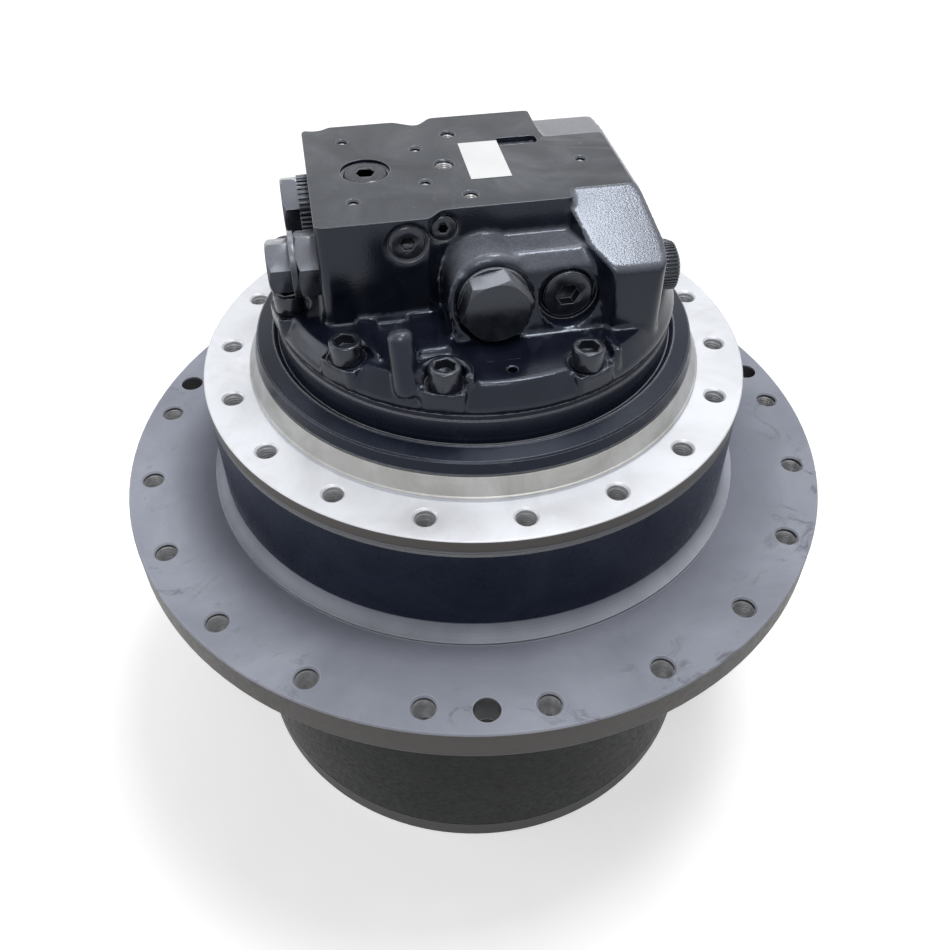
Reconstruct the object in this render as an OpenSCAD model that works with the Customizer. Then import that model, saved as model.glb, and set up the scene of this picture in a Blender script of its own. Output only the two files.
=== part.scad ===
// Hydraulic travel drive: axial piston motor, parking brake and two planetary stages in a turning hub.
// Z points up along the drive axis, the end cover stands on z = 0. Lengths are millimetres.

/* [Hub and sprocket flange] */
// Diameter of the sprocket flange
flange_d = 482; // [478:1:500]
// Thickness of the sprocket flange
flange_t = 22.5; // [18:0.5:28]
// Distance from the sprocket bolt circle to the edge of the flange
sprocket_edge = 16; // [14:0.5:20]
// Number of tapped holes in the sprocket flange
sprocket_n = 20; // [16:2:24]
// Tapping diameter of the sprocket holes
sprocket_tap_d = 14; // [10:0.5:15]
// Diameter of the three plain dowel holes
dowel_d = 16; // [12:0.5:17]
// Diameter of the raised register under the sprocket
register_d = 364; // [358:1:380]
// Height of the raised register
register_h = 2; // [1:0.5:4]
// Outer diameter of the lower drum
drum_d = 360; // [356:1:372]
// Height of the lower drum between end cover and flange
drum_h = 209.5; // [205:0.5:225]
// Outer diameter of the upper drum
lip_d = 349; // [346:1:352]
// Height of the upper drum above the register
lip_h = 71.5; // [70:0.5:80]
// Fillet at the foot of the upper drum
drum_fillet = 9; // [4:0.5:12]

/* [End cover] */
// Thickness of the end cover
end_cover_t = 16; // [14:0.5:20]
// Number of end cover screws
end_screw_n = 20; // [12:1:24]
// Thread diameter of the end cover screws
end_screw_d = 10; // [8:1:11]

/* [Frame flange] */
// Diameter of the frame flange
frame_d = 350; // [346:1:356]
// Bolt circle of the frame flange
frame_pcd = 318; // [314:1:320]
// Number of tapped holes in the frame flange
frame_n = 18; // [12:1:20]
// Tapping diameter of the frame holes
frame_tap_d = 12; // [8:0.5:13]
// Depth of the frame holes
frame_tap_depth = 28; // [20:1:34]
// Height of the rim of the frame flange
frame_rim_t = 8; // [6:0.5:14]
// Running gap between hub lip and frame flange
lip_gap = 1.5; // [1:0.1:3]
// Diameter of the raised machined ring on the frame flange
ring_step_d = 291; // [284:1:296]
// Height of the raised machined ring
ring_step_h = 3; // [1:0.5:5]
// Diameter of the painted collar between frame flange and neck
collar_d = 276; // [272:0.5:280]
// Height of the collar above the frame flange
collar_h = 24; // [21:0.5:28]
// Diameter of the painted neck
neck_d = 247; // [245:0.2:252]
// Height of the housing above the frame flange
neck_h = 43; // [40:0.5:52]

/* [Valve block] */
// Turn of the valve block about the axis
block_turn = 10.6; // [0:0.1:20]
// Thickness of the cover flange under the valve block
cover_flange_t = 18; // [16:0.5:22]
// Diameter of the upper edge of the cover flange
cover_flange_d = 235; // [230:1:238]
// Bolt circle of the cover screws
cover_pcd = 231; // [229:0.5:232]
// Thread diameter of the cover screws
cover_screw_d = 12; // [10:1:13]
// Height of the valve block above the cover flange
block_h = 62; // [58:0.5:72]
// Left side of the valve block from the axis
block_left = 94; // [92:0.5:95]
// Right side of the spool housing from the axis
block_right = 95; // [93:0.5:96]
// Hex across flats of the large plugs
plug_hex = 36; // [30:1:38]
// Diameter of the counterbalance spool
spool_d = 20; // [16:0.5:21]
// Length of the counterbalance spool
spool_len = 92; // [88:1:96]

/* [Gears] */
// Module of both planetary stages
gear_m = 3.5; // [3.3:0.05:3.6]
// Backlash taken off each flank
backlash = 0.2; // [0.1:0.05:0.3]
// Face width of the first stage
stage_1_w = 30; // [24:1:34]
// Face width of the second stage
stage_2_w = 46; // [40:1:50]
// Thickness of the first carrier plate
carrier_1_t = 14; // [12:0.5:18]
// Thickness of the second carrier plate
carrier_2_t = 20; // [16:0.5:24]
// Diameter of the first stage planet pins
pin_1_d = 28; // [24:0.5:32]
// Diameter of the second stage planet pins
pin_2_d = 42; // [38:0.5:46]

/* [Main bearings] */
// Bore of the main bearings
bearing_bore = 210; // [206:1:212]
// Outer diameter of the main bearings
bearing_od = 280; // [278:1:284]
// Width of one main bearing
bearing_w = 32; // [28:1:34]
// Balls in one row
ball_n = 24; // [16:1:26]
// Diameter of the balls
ball_d = 23; // [20:0.5:24]

/* [Axial piston motor] */
// Number of pistons
piston_n = 9; // [7:2:9]
// Diameter of the pistons
piston_d = 22; // [18:0.5:23]
// Diameter of the circle of pistons
piston_pcd = 84; // [82:0.5:86]
// Diameter of the cylinder block
block_d = 120; // [118:0.5:122]
// Length of the cylinder block
block_len = 80; // [76:1:84]
// Tilt of the swash plate at full stroke
swash_tilt = 14; // [8:0.5:14]
// Diameter of the motor shaft
shaft_d = 36; // [32:0.5:37]
// Diameter of the motor cavity below the brake
cavity_d = 156; // [154:0.5:158]

/* [Parking brake] */
// Number of friction discs
disc_n = 3; // [2:1:3]
// Thickness of each brake disc
disc_t = 2.6; // [2.2:0.1:2.8]
// Number of brake springs
brake_spring_n = 8; // [6:1:10]

/* [Hidden] */
$fn = 96;

// Clearances: a running or press fit, and the gap at a seat
fit = 0.05;
seat = 0.3;
hole_fn = 32;
over = 1;

// Teeth of ring, suns and planets
ring_z = 80;
sun_1_z = 16;
sun_2_z = 20;
planet_1_z = (ring_z - sun_1_z) / 2;
planet_2_z = (ring_z - sun_2_z) / 2;
planet_1_n = 3;
planet_2_n = 4;
pressure_angle = 20;
ring_pitch_r = gear_m * ring_z / 2;
ring_tip_r = ring_pitch_r - gear_m;
ring_root_r = ring_pitch_r + 1.25 * gear_m;
arm_1 = gear_m * (sun_1_z + planet_1_z) / 2;
arm_2 = gear_m * (sun_2_z + planet_2_z) / 2;

// Heights from the ground up
flange_z = end_cover_t + drum_h + flange_t;
register_z = flange_z + register_h;
lip_z = register_z + lip_h;
rim_z = lip_z + lip_gap;
frame_z = rim_z + frame_rim_t;
ring_step_z = frame_z + ring_step_h;
collar_z = frame_z + collar_h;
cover_z = frame_z + neck_h;
cover_flange_z = cover_z + cover_flange_t;
top_z = cover_flange_z + block_h;

// Gear train heights
thrust_t = 6;
stage_1_z0 = end_cover_t + thrust_t + 6;
stage_1_z1 = stage_1_z0 + stage_1_w;
carrier_1_z0 = stage_1_z1 + 2;
carrier_1_z1 = carrier_1_z0 + carrier_1_t;
stage_2_z0 = carrier_1_z1 + 8;
stage_2_z1 = stage_2_z0 + stage_2_w;
carrier_2_z0 = stage_2_z1 + 2;
carrier_2_z1 = carrier_2_z0 + carrier_2_t;
ring_gear_z1 = carrier_2_z0 + 4;
ring_gear_r = ring_root_r + 13.5;
head_t = 3.8;
washer_t = 1.5;

// Main bearings and the nut that clamps them
spindle_thread_r = bearing_bore / 2 - 5;
nut_t = 10;
nut_z0 = carrier_2_z1 + 2;
lower_bearing_z0 = nut_z0 + nut_t;
lower_bearing_z1 = lower_bearing_z0 + bearing_w;
upper_bearing_z1 = flange_z + 20;
upper_bearing_z0 = upper_bearing_z1 - bearing_w;
ball_pitch_r = (bearing_bore + bearing_od) / 4;
inner_race_r = ball_pitch_r - 8.5;
outer_race_r = ball_pitch_r + 8.5;
hub_shoulder_r = outer_race_r;

// Floating face seal: its running face, and the bores that hold the rubber rings
seal_z = upper_bearing_z1 + 20;
seal_bore_r = bearing_od / 2 + 10;
seal_skirt_r = lip_d / 2 - 5.5;
seal_half_h = 13;
toric_r = 4.6;
toric_pitch_r = seal_bore_r - toric_r - 0.2;
seal_ring_r = toric_pitch_r - toric_r - 0.2;
seal_gap = 0.2;
seal_floor = 15;
skirt_gap = 2;

// Motor cavity, chained down from the cover face
pilot_h = 8;
brake_bore_r = 88;
disc_bore_r = cavity_d / 2 + 6;
valve_plate_t = 5;
block_z1 = cover_z - pilot_h - valve_plate_t - 0.2;
block_z0 = block_z1 - block_len;
swing_z = block_z0 - 24;
slipper_h = 10;
swash_t = 12;
cradle_r = 40;
cavity_z0 = swing_z - cradle_r - 10.8;
pack_z0 = block_z0 + 17;
disc_gap = 0.3;
pack_z1 = pack_z0 + (2 * disc_n + 1) * (disc_t + disc_gap);
brake_step_z = pack_z1 + 12;
brake_piston_h = 32;
piston_big_z0 = brake_step_z + 6;
brake_piston_z1 = pack_z1 + brake_piston_h;
brake_spring_r = 78;
brake_spring_hole_r = 6;
brake_pocket = 6;

// Shaft and its bearings
shaft_r = shaft_d / 2;
journal_r = shaft_r + 4;
lower_race_r = journal_r + 17;
lower_race_w = 22;
shaft_race_z0 = cavity_z0 - 8 - lower_race_w;
shaft_z0 = carrier_2_z1 + 6;
stem_r = 14;
shaft_z1 = cover_z + 21;
upper_race_r = shaft_r + 9;
seal_lip_r = journal_r + 14;

// Cover screws, as angles from the front of the block towards its right side
cover_angles = [-78, -47.5, -18, 22, 82, 145, 172, 200, 228, 255];
screw_head_r = 0.75 * cover_screw_d;
screw_sunk = 2;
screw_seat_z = cover_flange_z - screw_sunk;
spot_r = screw_head_r + 2;
lobe_w = 25;
lobe_reach = screw_head_r + 1;
wall_angle = cover_angles[2];

// Valve block outline
front_y = -50;
front_mid_y = -42;
back_y = 70;
main_right = 48;
boss_left = -27;
boss_y = -68;
boss_top_z = cover_flange_z + 43;
spool_y = -46;
spool_z = cover_flange_z + 15;
spool_x0 = -8;
spool_bore_x0 = spool_x0 - 14;
plug_z = cover_flange_z + 19.5;
hex_plug_x = -1.5;
hex_plug_turn = 11.7;
arch_r = 26;
socket_plug_x = 40.5;
boss_right = socket_plug_x + 19;
socket_plug_r = 14;
gauge_a = [-45, 47.5, 10];
gauge_b = [-24.5, 50.5, 7.4];
top_plug = [-61, 9.8];
top_plug_r = 12.5;
side_plug_hex = 33;
ribbed_y = 34;
ribbed_z = cover_flange_z + 31;
relief_y = -28;
relief_z = cover_flange_z + 29;
port_r = 15.2;
port_len = 24;
port_x = [-56, 6];
port_z = cover_flange_z + 31;
port_face_y = back_y + 4;
drain_r = 9.5;
drain_x = 74;
drain_face_y = back_y + 9;
cap_r = 14;
cap_len = 17;
cap_x = block_right - 0.5 + fit;
cap_hollow = 11;
spring_x0 = spool_x0 + spool_len + seat;
spring_len = cap_x + cap_hollow - seat - spring_x0;

// Tapped holes of the machined top: place and radius, then the cast slot beside them
top_holes = [
    [-70.6, 49, 2.6], [-29, 32, 2.6], [-71, -25, 2.6], [-29, -9.7, 2.6], [64, 2.5, 2.6],
    [-7, 48, 3.6], [-6.5, -28, 3.6], [-15.3, 9.8, 5]];
top_slot = [19.5, 27];

// Lug and small hole of the cover flange, right of the front
lug = [57.5, -107];
flange_hole = [1.8, -107];

// Rib between the two left front screws: the foot and head of its axis, and its radius
rib_foot = [-55.5, -108, cover_flange_z - 9];
rib_head = [-57, -95, cover_flange_z + 25];
rib_r = 7.5;

// Sprocket and frame holes, as the angle of the first hole from the front
sprocket_pcd = flange_d - 2 * sprocket_edge;
sprocket_a0 = -7.02;
dowel_a0 = 1.98;
frame_a0 = 10.54;

// Corner arc: the points that round corner b of a path a, b, c with radius r
function unit(v) = v / norm(v);
function corner(a, b, c, r, n = 5) =
    let(u = unit(a - b), w = unit(c - b), half = acos(max(-1, min(1, u * w))) / 2)
    let(t = r / tan(half), m = b + unit(u + w) * (r / sin(half)))
    let(p = b + u * t - m, q = b + w * t - m)
    let(a0 = atan2(p[1], p[0]), d0 = atan2(q[1], q[0]) - a0)
    let(d = d0 > 180 ? d0 - 360 : (d0 < -180 ? d0 + 360 : d0))
    [for (i = [0 : n]) m + r * [cos(a0 + d * i / n), sin(a0 + d * i / n)]];
// A closed outline from points [x, y, corner radius]
function rounded(p) = [
    for (i = [0 : len(p) - 1])
        let(a = p[(i + len(p) - 1) % len(p)], b = p[i], c = p[(i + 1) % len(p)])
        each (b[2] > 0
            ? corner([a[0], a[1]], [b[0], b[1]], [c[0], c[1]], b[2])
            : [[b[0], b[1]]])
];
function polar(r, a) = [r * cos(a), r * sin(a)];

// Involute teeth. half is the tooth's half angle at the pitch circle
function inv(a) = tan(a) * 180 / PI - a;
function flank(r, pitch_r, half) =
    let(base_r = pitch_r * cos(pressure_angle), a = acos(min(1, base_r / max(r, base_r))))
    half + inv(pressure_angle) - inv(a);
function gear_points(z, low_r, high_r, half, steps = 4) =
    let(pitch_r = gear_m * z / 2)
    [for (i = [0 : z - 1])
        each concat(
            [for (k = [0 : steps])
                let(r = low_r + (high_r - low_r) * k / steps)
                polar(r, i * 360 / z - flank(r, pitch_r, half))],
            [for (k = [steps : -1 : 0])
                let(r = low_r + (high_r - low_r) * k / steps)
                polar(r, i * 360 / z + flank(r, pitch_r, half))])];
function half_tooth(z) = 90 / z - backlash / (gear_m * z / 2) * 180 / PI;
function half_space(z) = 90 / z + backlash / (gear_m * z / 2) * 180 / PI;
function spline_points(n, low_r, high_r) = [
    for (i = [0 : n - 1])
        each [polar(low_r, (i - 0.3) * 360 / n), polar(high_r, (i - 0.2) * 360 / n),
            polar(high_r, (i + 0.2) * 360 / n), polar(low_r, (i + 0.3) * 360 / n)]];

// A coil spring as a swept tube that stands on z = 0
module coil(r, wire_r, h, turns, steps = 12, sides = 6) {
    rings = turns * steps;
    points = [
        for (i = [0 : rings])
            let(a = 360 * i / steps, z = wire_r + (h - 2 * wire_r) * i / rings)
            for (k = [0 : sides - 1])
                let(b = 360 * k / sides, q = r + wire_r * cos(b))
                [q * cos(a), q * sin(a), z + wire_r * sin(b)]];
    faces = concat(
        [[for (k = [0 : sides - 1]) k]],
        [for (i = [0 : rings - 1], k = [0 : sides - 1])
            [i * sides + k, (i + 1) * sides + k, (i + 1) * sides + (k + 1) % sides,
                i * sides + (k + 1) % sides]],
        [[for (k = [sides - 1 : -1 : 0]) rings * sides + k]]);
    polyhedron(points, faces);
}

module tube(outer_r, inner_r, z0, z1) {
    translate([0, 0, z0])
        difference() {
            cylinder(r = outer_r, h = z1 - z0);
            translate([0, 0, -over]) cylinder(r = inner_r, h = z1 - z0 + 2 * over);
        }
}
module torus(pitch_r, r, z) {
    translate([0, 0, z]) rotate_extrude() translate([pitch_r, 0]) circle(r = r, $fn = 32);
}
module ring_of(n, r, a0 = 0) {
    for (i = [0 : n - 1]) rotate([0, 0, a0 + i * 360 / n]) translate([r, 0, 0]) children();
}
// Angles from the front of the object, as the hole patterns use them
module from_front(a) { rotate([0, 0, a - 90]) children(); }
module on_block() { rotate([0, 0, block_turn]) children(); }
module to_front(x, y, z) { translate([x, y, z]) rotate([90, 0, 0]) children(); }
module to_back(x, y, z) { translate([x, y, z]) rotate([-90, 0, 0]) children(); }
module to_left(x, y, z) { translate([x, y, z]) rotate([0, -90, 0]) children(); }
module to_right(x, y, z) { translate([x, y, z]) rotate([0, 90, 0]) children(); }
module along_x(x0, x1, outline) {
    translate([x0, 0, 0]) rotate([90, 0, 90]) linear_extrude(x1 - x0) polygon(outline);
}
module along_y(y0, y1, outline) {
    translate([0, y1, 0]) rotate([90, 0, 0]) linear_extrude(y1 - y0) polygon(outline);
}
// A tapped hole with a countersunk mouth, its mouth on z = 0 and its depth below
module tapped(r, depth) {
    translate([0, 0, -depth]) cylinder(r = r, h = depth + over, $fn = hole_fn);
    translate([0, 0, -1.2]) cylinder(r1 = r, r2 = r + 1.2 + 0.2, h = 1.4, $fn = hole_fn);
}
// A socket head cap screw: head up from z = 0, shank below
module cap_screw(d, head_h, shank) {
    head_r = 0.75 * d;
    difference() {
        union() {
            cylinder(r = head_r, h = head_h - 0.8, $fn = hole_fn);
            translate([0, 0, head_h - 0.8])
                cylinder(r1 = head_r, r2 = head_r - 0.8, h = 0.8, $fn = hole_fn);
            translate([0, 0, -shank]) cylinder(r = d / 2 - 1 - fit, h = shank + 0.1, $fn = hole_fn);
        }
        translate([0, 0, head_h / 2]) cylinder(r = 0.5 * d, h = head_h, $fn = 6);
    }
}
// A flush plug with a hex socket: its face on z = 0 and its body below
module socket_plug(r, hex_r, body) {
    difference() {
        union() {
            translate([0, 0, -body]) cylinder(r = r - fit, h = body - 0.8, $fn = 48);
            translate([0, 0, -0.8 - 0.01]) cylinder(r1 = r - fit, r2 = r - 1, h = 0.81, $fn = 48);
        }
        translate([0, 0, -body * 0.5]) cylinder(r = hex_r, h = body, $fn = 6);
    }
}
// A hex head with a round chamfered top, standing on z = 0
module hex_head(flats, h) {
    intersection() {
        cylinder(r = flats / sqrt(3), h = h, $fn = 6);
        union() {
            cylinder(r = flats * 0.58, h = h - 2);
            translate([0, 0, h - 2]) cylinder(r1 = flats * 0.58, r2 = flats * 0.58 - 3, h = 2);
        }
    }
}

module hub() {
    fillet_r = register_d / 2 - lip_d / 2;
    foot = [for (i = [0 : 6]) let(a = 270 - 90 * i / 6)
        [lip_d / 2 + fillet_r + fillet_r * cos(a), register_z + drum_fillet + drum_fillet * sin(a)]];
    profile = concat(
        [[ring_gear_r + fit, end_cover_t + seat], [drum_d / 2 - 1, end_cover_t + seat],
            [drum_d / 2, end_cover_t + seat + 1], [drum_d / 2, flange_z - flange_t],
            [flange_d / 2 - 1, flange_z - flange_t], [flange_d / 2, flange_z - flange_t + 1],
            [flange_d / 2, flange_z - 1], [flange_d / 2 - 1, flange_z],
            [register_d / 2, flange_z]],
        foot,
        [[lip_d / 2, lip_z - 3.2], [lip_d / 2 - 0.8, lip_z - 2.6], [lip_d / 2 - 0.8, lip_z - 1],
            [lip_d / 2 - 1.8, lip_z], [seal_skirt_r + 1, lip_z],
            [seal_skirt_r + 1, seal_z - skirt_gap], [seal_bore_r, seal_z - skirt_gap],
            [seal_bore_r, seal_z - seal_floor - 1], [bearing_od / 2 + fit, seal_z - seal_floor - 1],
            [bearing_od / 2 + fit, upper_bearing_z0 - seat], [hub_shoulder_r, upper_bearing_z0 - seat],
            [hub_shoulder_r, lower_bearing_z1 + seat], [bearing_od / 2 + fit, lower_bearing_z1 + seat],
            [bearing_od / 2 + fit, lower_bearing_z0 - 6], [ring_root_r + 5, lower_bearing_z0 - 6],
            [ring_root_r + 5, ring_gear_z1 + seat], [ring_gear_r + fit, ring_gear_z1 + seat]]);
    color("slategray")
        difference() {
            rotate_extrude($fn = 180) polygon(profile);
            for (i = [0 : sprocket_n - 1])
                from_front(sprocket_a0 + i * 360 / sprocket_n)
                    translate([sprocket_pcd / 2, 0, flange_z]) tapped(sprocket_tap_d / 2, flange_t + over);
            for (i = [0 : 2])
                from_front(dowel_a0 + i * 108 - 108)
                    translate([sprocket_pcd / 2, 0, flange_z - flange_t - over])
                        cylinder(d = dowel_d, h = flange_t + 2 * over, $fn = hole_fn);
            ring_of(end_screw_n, (drum_d / 2 + ring_gear_r) / 2)
                translate([0, 0, end_cover_t]) cylinder(r = end_screw_d / 2 - 1, h = 26, $fn = hole_fn);
        }
}

module ring_gear() {
    color("dimgray")
        translate([0, 0, end_cover_t + seat])
            linear_extrude(ring_gear_z1 - end_cover_t - seat)
                difference() {
                    circle(r = ring_gear_r, $fn = 180);
                    rotate(180 / ring_z)
                        polygon(gear_points(ring_z, ring_tip_r, ring_root_r, half_space(ring_z)));
                }
}

module end_cover() {
    color("#3a3d40")
        difference() {
            union() {
                cylinder(r = drum_d / 2 - 1, h = 1);
                translate([0, 0, 1]) cylinder(r = drum_d / 2, h = end_cover_t - 1);
            }
            ring_of(end_screw_n, (drum_d / 2 + ring_gear_r) / 2) {
                translate([0, 0, -over])
                    cylinder(r = end_screw_d / 2 + 0.5, h = end_cover_t + 2 * over, $fn = hole_fn);
                translate([0, 0, -over])
                    cylinder(r = 0.75 * end_screw_d + 0.5, h = end_screw_d + 0.5 + over, $fn = hole_fn);
            }
            for (a = [0, 90, 200])
                from_front(a) translate([drum_d / 4, 0, -over])
                    cylinder(r = 12, h = end_cover_t + 2 * over, $fn = 48);
            translate([0, 0, end_cover_t - 4]) tube(130, 60, 0, 4 + over);
        }
}

module end_cover_screws() {
    color("#2b2d30")
        ring_of(end_screw_n, (drum_d / 2 + ring_gear_r) / 2)
            translate([0, 0, end_screw_d + 0.2]) mirror([0, 0, 1])
                cap_screw(end_screw_d, end_screw_d, 24);
}

module drain_plugs() {
    color("#2b2d30")
        for (a = [0, 90, 200])
            from_front(a)
                translate([drum_d / 4, 0, 0.6]) mirror([0, 0, 1]) socket_plug(12, 7, end_cover_t - 3);
}

module thrust_plate() {
    color("gainsboro")
        translate([0, 0, end_cover_t + fit])
            difference() {
                cylinder(r = 40, h = thrust_t);
                ring_of(6, 30) translate([0, 0, -over])
                    cylinder(r = 3, h = thrust_t + 2 * over, $fn = 24);
            }
}

// One row's outer and inner race, with the ball groove turned into both
module race(outer_r, inner_r, z0) {
    translate([0, 0, z0])
        rotate_extrude()
            difference() {
                translate([inner_r, 0]) square([outer_r - inner_r, bearing_w]);
                translate([ball_pitch_r, bearing_w / 2]) circle(r = ball_d / 2 + seat, $fn = 48);
            }
}
module main_bearing_outer_rings() {
    color("silver") {
        race(bearing_od / 2, outer_race_r, lower_bearing_z0);
        race(bearing_od / 2, outer_race_r, upper_bearing_z0);
    }
}
module main_bearing_inner_rings() {
    color("silver") {
        race(inner_race_r, bearing_bore / 2 + fit, lower_bearing_z0);
        race(inner_race_r, bearing_bore / 2 + fit, upper_bearing_z0);
    }
}
module main_bearing_balls() {
    cage_t = 3;
    for (z = [lower_bearing_z0, upper_bearing_z0]) {
        color("whitesmoke")
            ring_of(ball_n, ball_pitch_r)
                translate([0, 0, z + bearing_w / 2]) sphere(d = ball_d, $fn = 32);
        color("goldenrod")
            difference() {
                tube(ball_pitch_r + cage_t / 2, ball_pitch_r - cage_t / 2, z + 6, z + bearing_w - 6);
                ring_of(ball_n, ball_pitch_r)
                    translate([-10, 0, z + bearing_w / 2]) rotate([0, 90, 0])
                        cylinder(d = ball_d + 2 * seat, h = 20, $fn = 32);
            }
    }
}

module seal_ring() {
    step = toric_pitch_r - 0.7;
    rotate_extrude()
        polygon([[seal_ring_r - 11.4, seal_gap], [step, seal_gap], [step, 2.5], [seal_ring_r, 2.5],
            [seal_ring_r, seal_half_h], [seal_ring_r - 11.4, seal_half_h]]);
}
module seal_ring_turning() {
    color("silver") translate([0, 0, seal_z]) mirror([0, 0, 1]) seal_ring();
}
module seal_ring_fixed() {
    color("silver") translate([0, 0, seal_z]) seal_ring();
}
module seal_toric_turning() { color("#202020") torus(toric_pitch_r, toric_r, seal_z - 8); }
module seal_toric_fixed() { color("#202020") torus(toric_pitch_r, toric_r, seal_z + 8); }

module bearing_nut() {
    color("dimgray")
        difference() {
            tube(spindle_thread_r + 16, spindle_thread_r + fit, nut_z0, lower_bearing_z0 - seat);
            ring_of(6, spindle_thread_r + 16) translate([-4, -5, nut_z0 - over])
                cube([10, 10, nut_t + 2 * over]);
        }
}

// The housing's outside, from the spindle end up to the cover face, then back down its inside
module housing_profile() {
    r_spindle = bearing_bore / 2;
    pocket_z = seal_z + seal_floor;
    neck_r = neck_d / 2;
    collar_r = collar_d / 2;
    polygon([
        [seal_lip_r + fit, carrier_2_z1], [spindle_thread_r, carrier_2_z1],
        [spindle_thread_r, lower_bearing_z0], [r_spindle, lower_bearing_z0],
        [r_spindle, upper_bearing_z1 + seat], [r_spindle + 7, upper_bearing_z1 + seat],
        [r_spindle + 7, upper_bearing_z1 + 4], [seal_ring_r - 16.4, upper_bearing_z1 + 8],
        [seal_ring_r - 16.4, pocket_z], [seal_bore_r, pocket_z], [seal_bore_r, seal_z + 2],
        [seal_skirt_r, seal_z + 2], [seal_skirt_r, rim_z], [frame_d / 2 - 0.6, rim_z],
        [frame_d / 2, rim_z + 0.6], [frame_d / 2, frame_z - 0.6], [frame_d / 2 - 0.6, frame_z],
        [ring_step_d / 2, frame_z], [ring_step_d / 2, ring_step_z - 0.6],
        [ring_step_d / 2 - 0.6, ring_step_z], [collar_r + 6.4, ring_step_z],
        [collar_r + 2.2, collar_z - 10.2], [collar_r + 1, collar_z - 10], [collar_r + 1, collar_z - 9.2],
        [collar_r + 1.9, collar_z - 8.7], [collar_r + 0.2, collar_z - 1.9],
        [collar_r - 0.9, collar_z - 0.9], [neck_r + 4.6, collar_z + 1.1],
        [neck_r + 3.9, collar_z + 1.7], [neck_r + 3, collar_z + 1.4], [neck_r + 0.6, collar_z - 0.6],
        [neck_r, collar_z + 4], [neck_r, cover_z - 5.5], [neck_r - 0.3, cover_z - 3.9],
        [neck_r - 1.1, cover_z - 3.6], [neck_r - 1.1, cover_z], [brake_bore_r + 1, cover_z],
        [brake_bore_r, cover_z - 1],
        [brake_bore_r, brake_step_z], [disc_bore_r, brake_step_z], [disc_bore_r, pack_z0 - seat],
        [cavity_d / 2, pack_z0 - seat], [cavity_d / 2, cavity_z0 + 6], [cavity_d / 2 - 6, cavity_z0],
        [lower_race_r + fit, cavity_z0], [lower_race_r + fit, shaft_race_z0 - seat],
        [seal_lip_r + fit, shaft_race_z0 - seat]]);
}
module swash_saddles() {
    for (x = [-49, 31])
        difference() {
            translate([x, -26, cavity_z0 - over]) cube([18, 52, 17]);
            translate([x - over, 0, swing_z]) rotate([0, 90, 0])
                cylinder(r = cradle_r + seat, h = 18 + 2 * over);
        }
}
speed_y = -50;
speed_r = 9;
module motor_housing() {
    color("gainsboro")
        difference() {
            union() {
                rotate_extrude($fn = 180) housing_profile();
                swash_saddles();
            }
            for (i = [0 : frame_n - 1])
                from_front(frame_a0 + i * 360 / frame_n)
                    translate([frame_pcd / 2, 0, frame_z]) tapped(frame_tap_d / 2, frame_tap_depth);
            for (a = cover_angles)
                from_front(a + block_turn)
                    translate([cover_pcd / 2, 0, cover_z - 32])
                        cylinder(r = cover_screw_d / 2 - 1, h = 33, $fn = hole_fn);
            ring_of(planet_2_n, arm_2, 45)
                translate([0, 0, carrier_2_z1 - over]) cylinder(r = 6, h = 26 + over, $fn = hole_fn);
            translate([0, speed_y, cavity_z0 - 22]) cylinder(r = speed_r + fit, h = 24, $fn = 48);
        }
}

// One planet wheel of either stage, toothed so that it meshes with its sun and the ring
module planet(z, sun_z, n, i, arm, bore_r, z0, w) {
    place = i * 360 / n;
    turn = place + 180 - 180 / z + sun_z / z * place;
    rotate([0, 0, place])
        translate([arm, 0, z0])
            rotate([0, 0, turn - place])
                difference() {
                    linear_extrude(w)
                        polygon(gear_points(z, gear_m * (z / 2 - 1.25), gear_m * (z / 2 + 0.95), half_tooth(z)));
                    translate([0, 0, -over]) cylinder(r = bore_r, h = w + 2 * over, $fn = 48);
                }
}
roller_1_r = 3;
roller_2_r = 4.4;
planet_1_bore_r = pin_1_d / 2 + 2 * roller_1_r + 3 * fit;
planet_2_bore_r = pin_2_d / 2 + 2 * roller_2_r + 3 * fit;
module planet_1(i) {
    color("#b5b9bd")
        planet(planet_1_z, sun_1_z, planet_1_n, i, arm_1, planet_1_bore_r, stage_1_z0, stage_1_w);
}
module planet_2(i) {
    color("#b5b9bd")
        planet(planet_2_z, sun_2_z, planet_2_n, i, arm_2, planet_2_bore_r, stage_2_z0, stage_2_w);
}
module planet_1_a() { planet_1(0); }
module planet_1_b() { planet_1(1); }
module planet_1_c() { planet_1(2); }
module planet_2_a() { planet_2(0); }
module planet_2_b() { planet_2(1); }
module planet_2_c() { planet_2(2); }
module planet_2_d() { planet_2(3); }

// Loose rollers between a planet and its pin
module rollers(n, arm, pin_r, roller_r, z0, w) {
    pitch_r = pin_r + roller_r + 1.5 * fit;
    count = floor(180 / asin((roller_r + 0.15) / pitch_r));
    ring_of(n, arm)
        ring_of(count, pitch_r)
            translate([0, 0, z0 + 1]) cylinder(r = roller_r, h = w - 2, $fn = 16);
}
module planet_1_rollers() {
    color("whitesmoke") rollers(planet_1_n, arm_1, pin_1_d / 2, roller_1_r, stage_1_z0, stage_1_w);
}
module planet_2_rollers() {
    color("whitesmoke") rollers(planet_2_n, arm_2, pin_2_d / 2, roller_2_r, stage_2_z0, stage_2_w);
}
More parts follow.
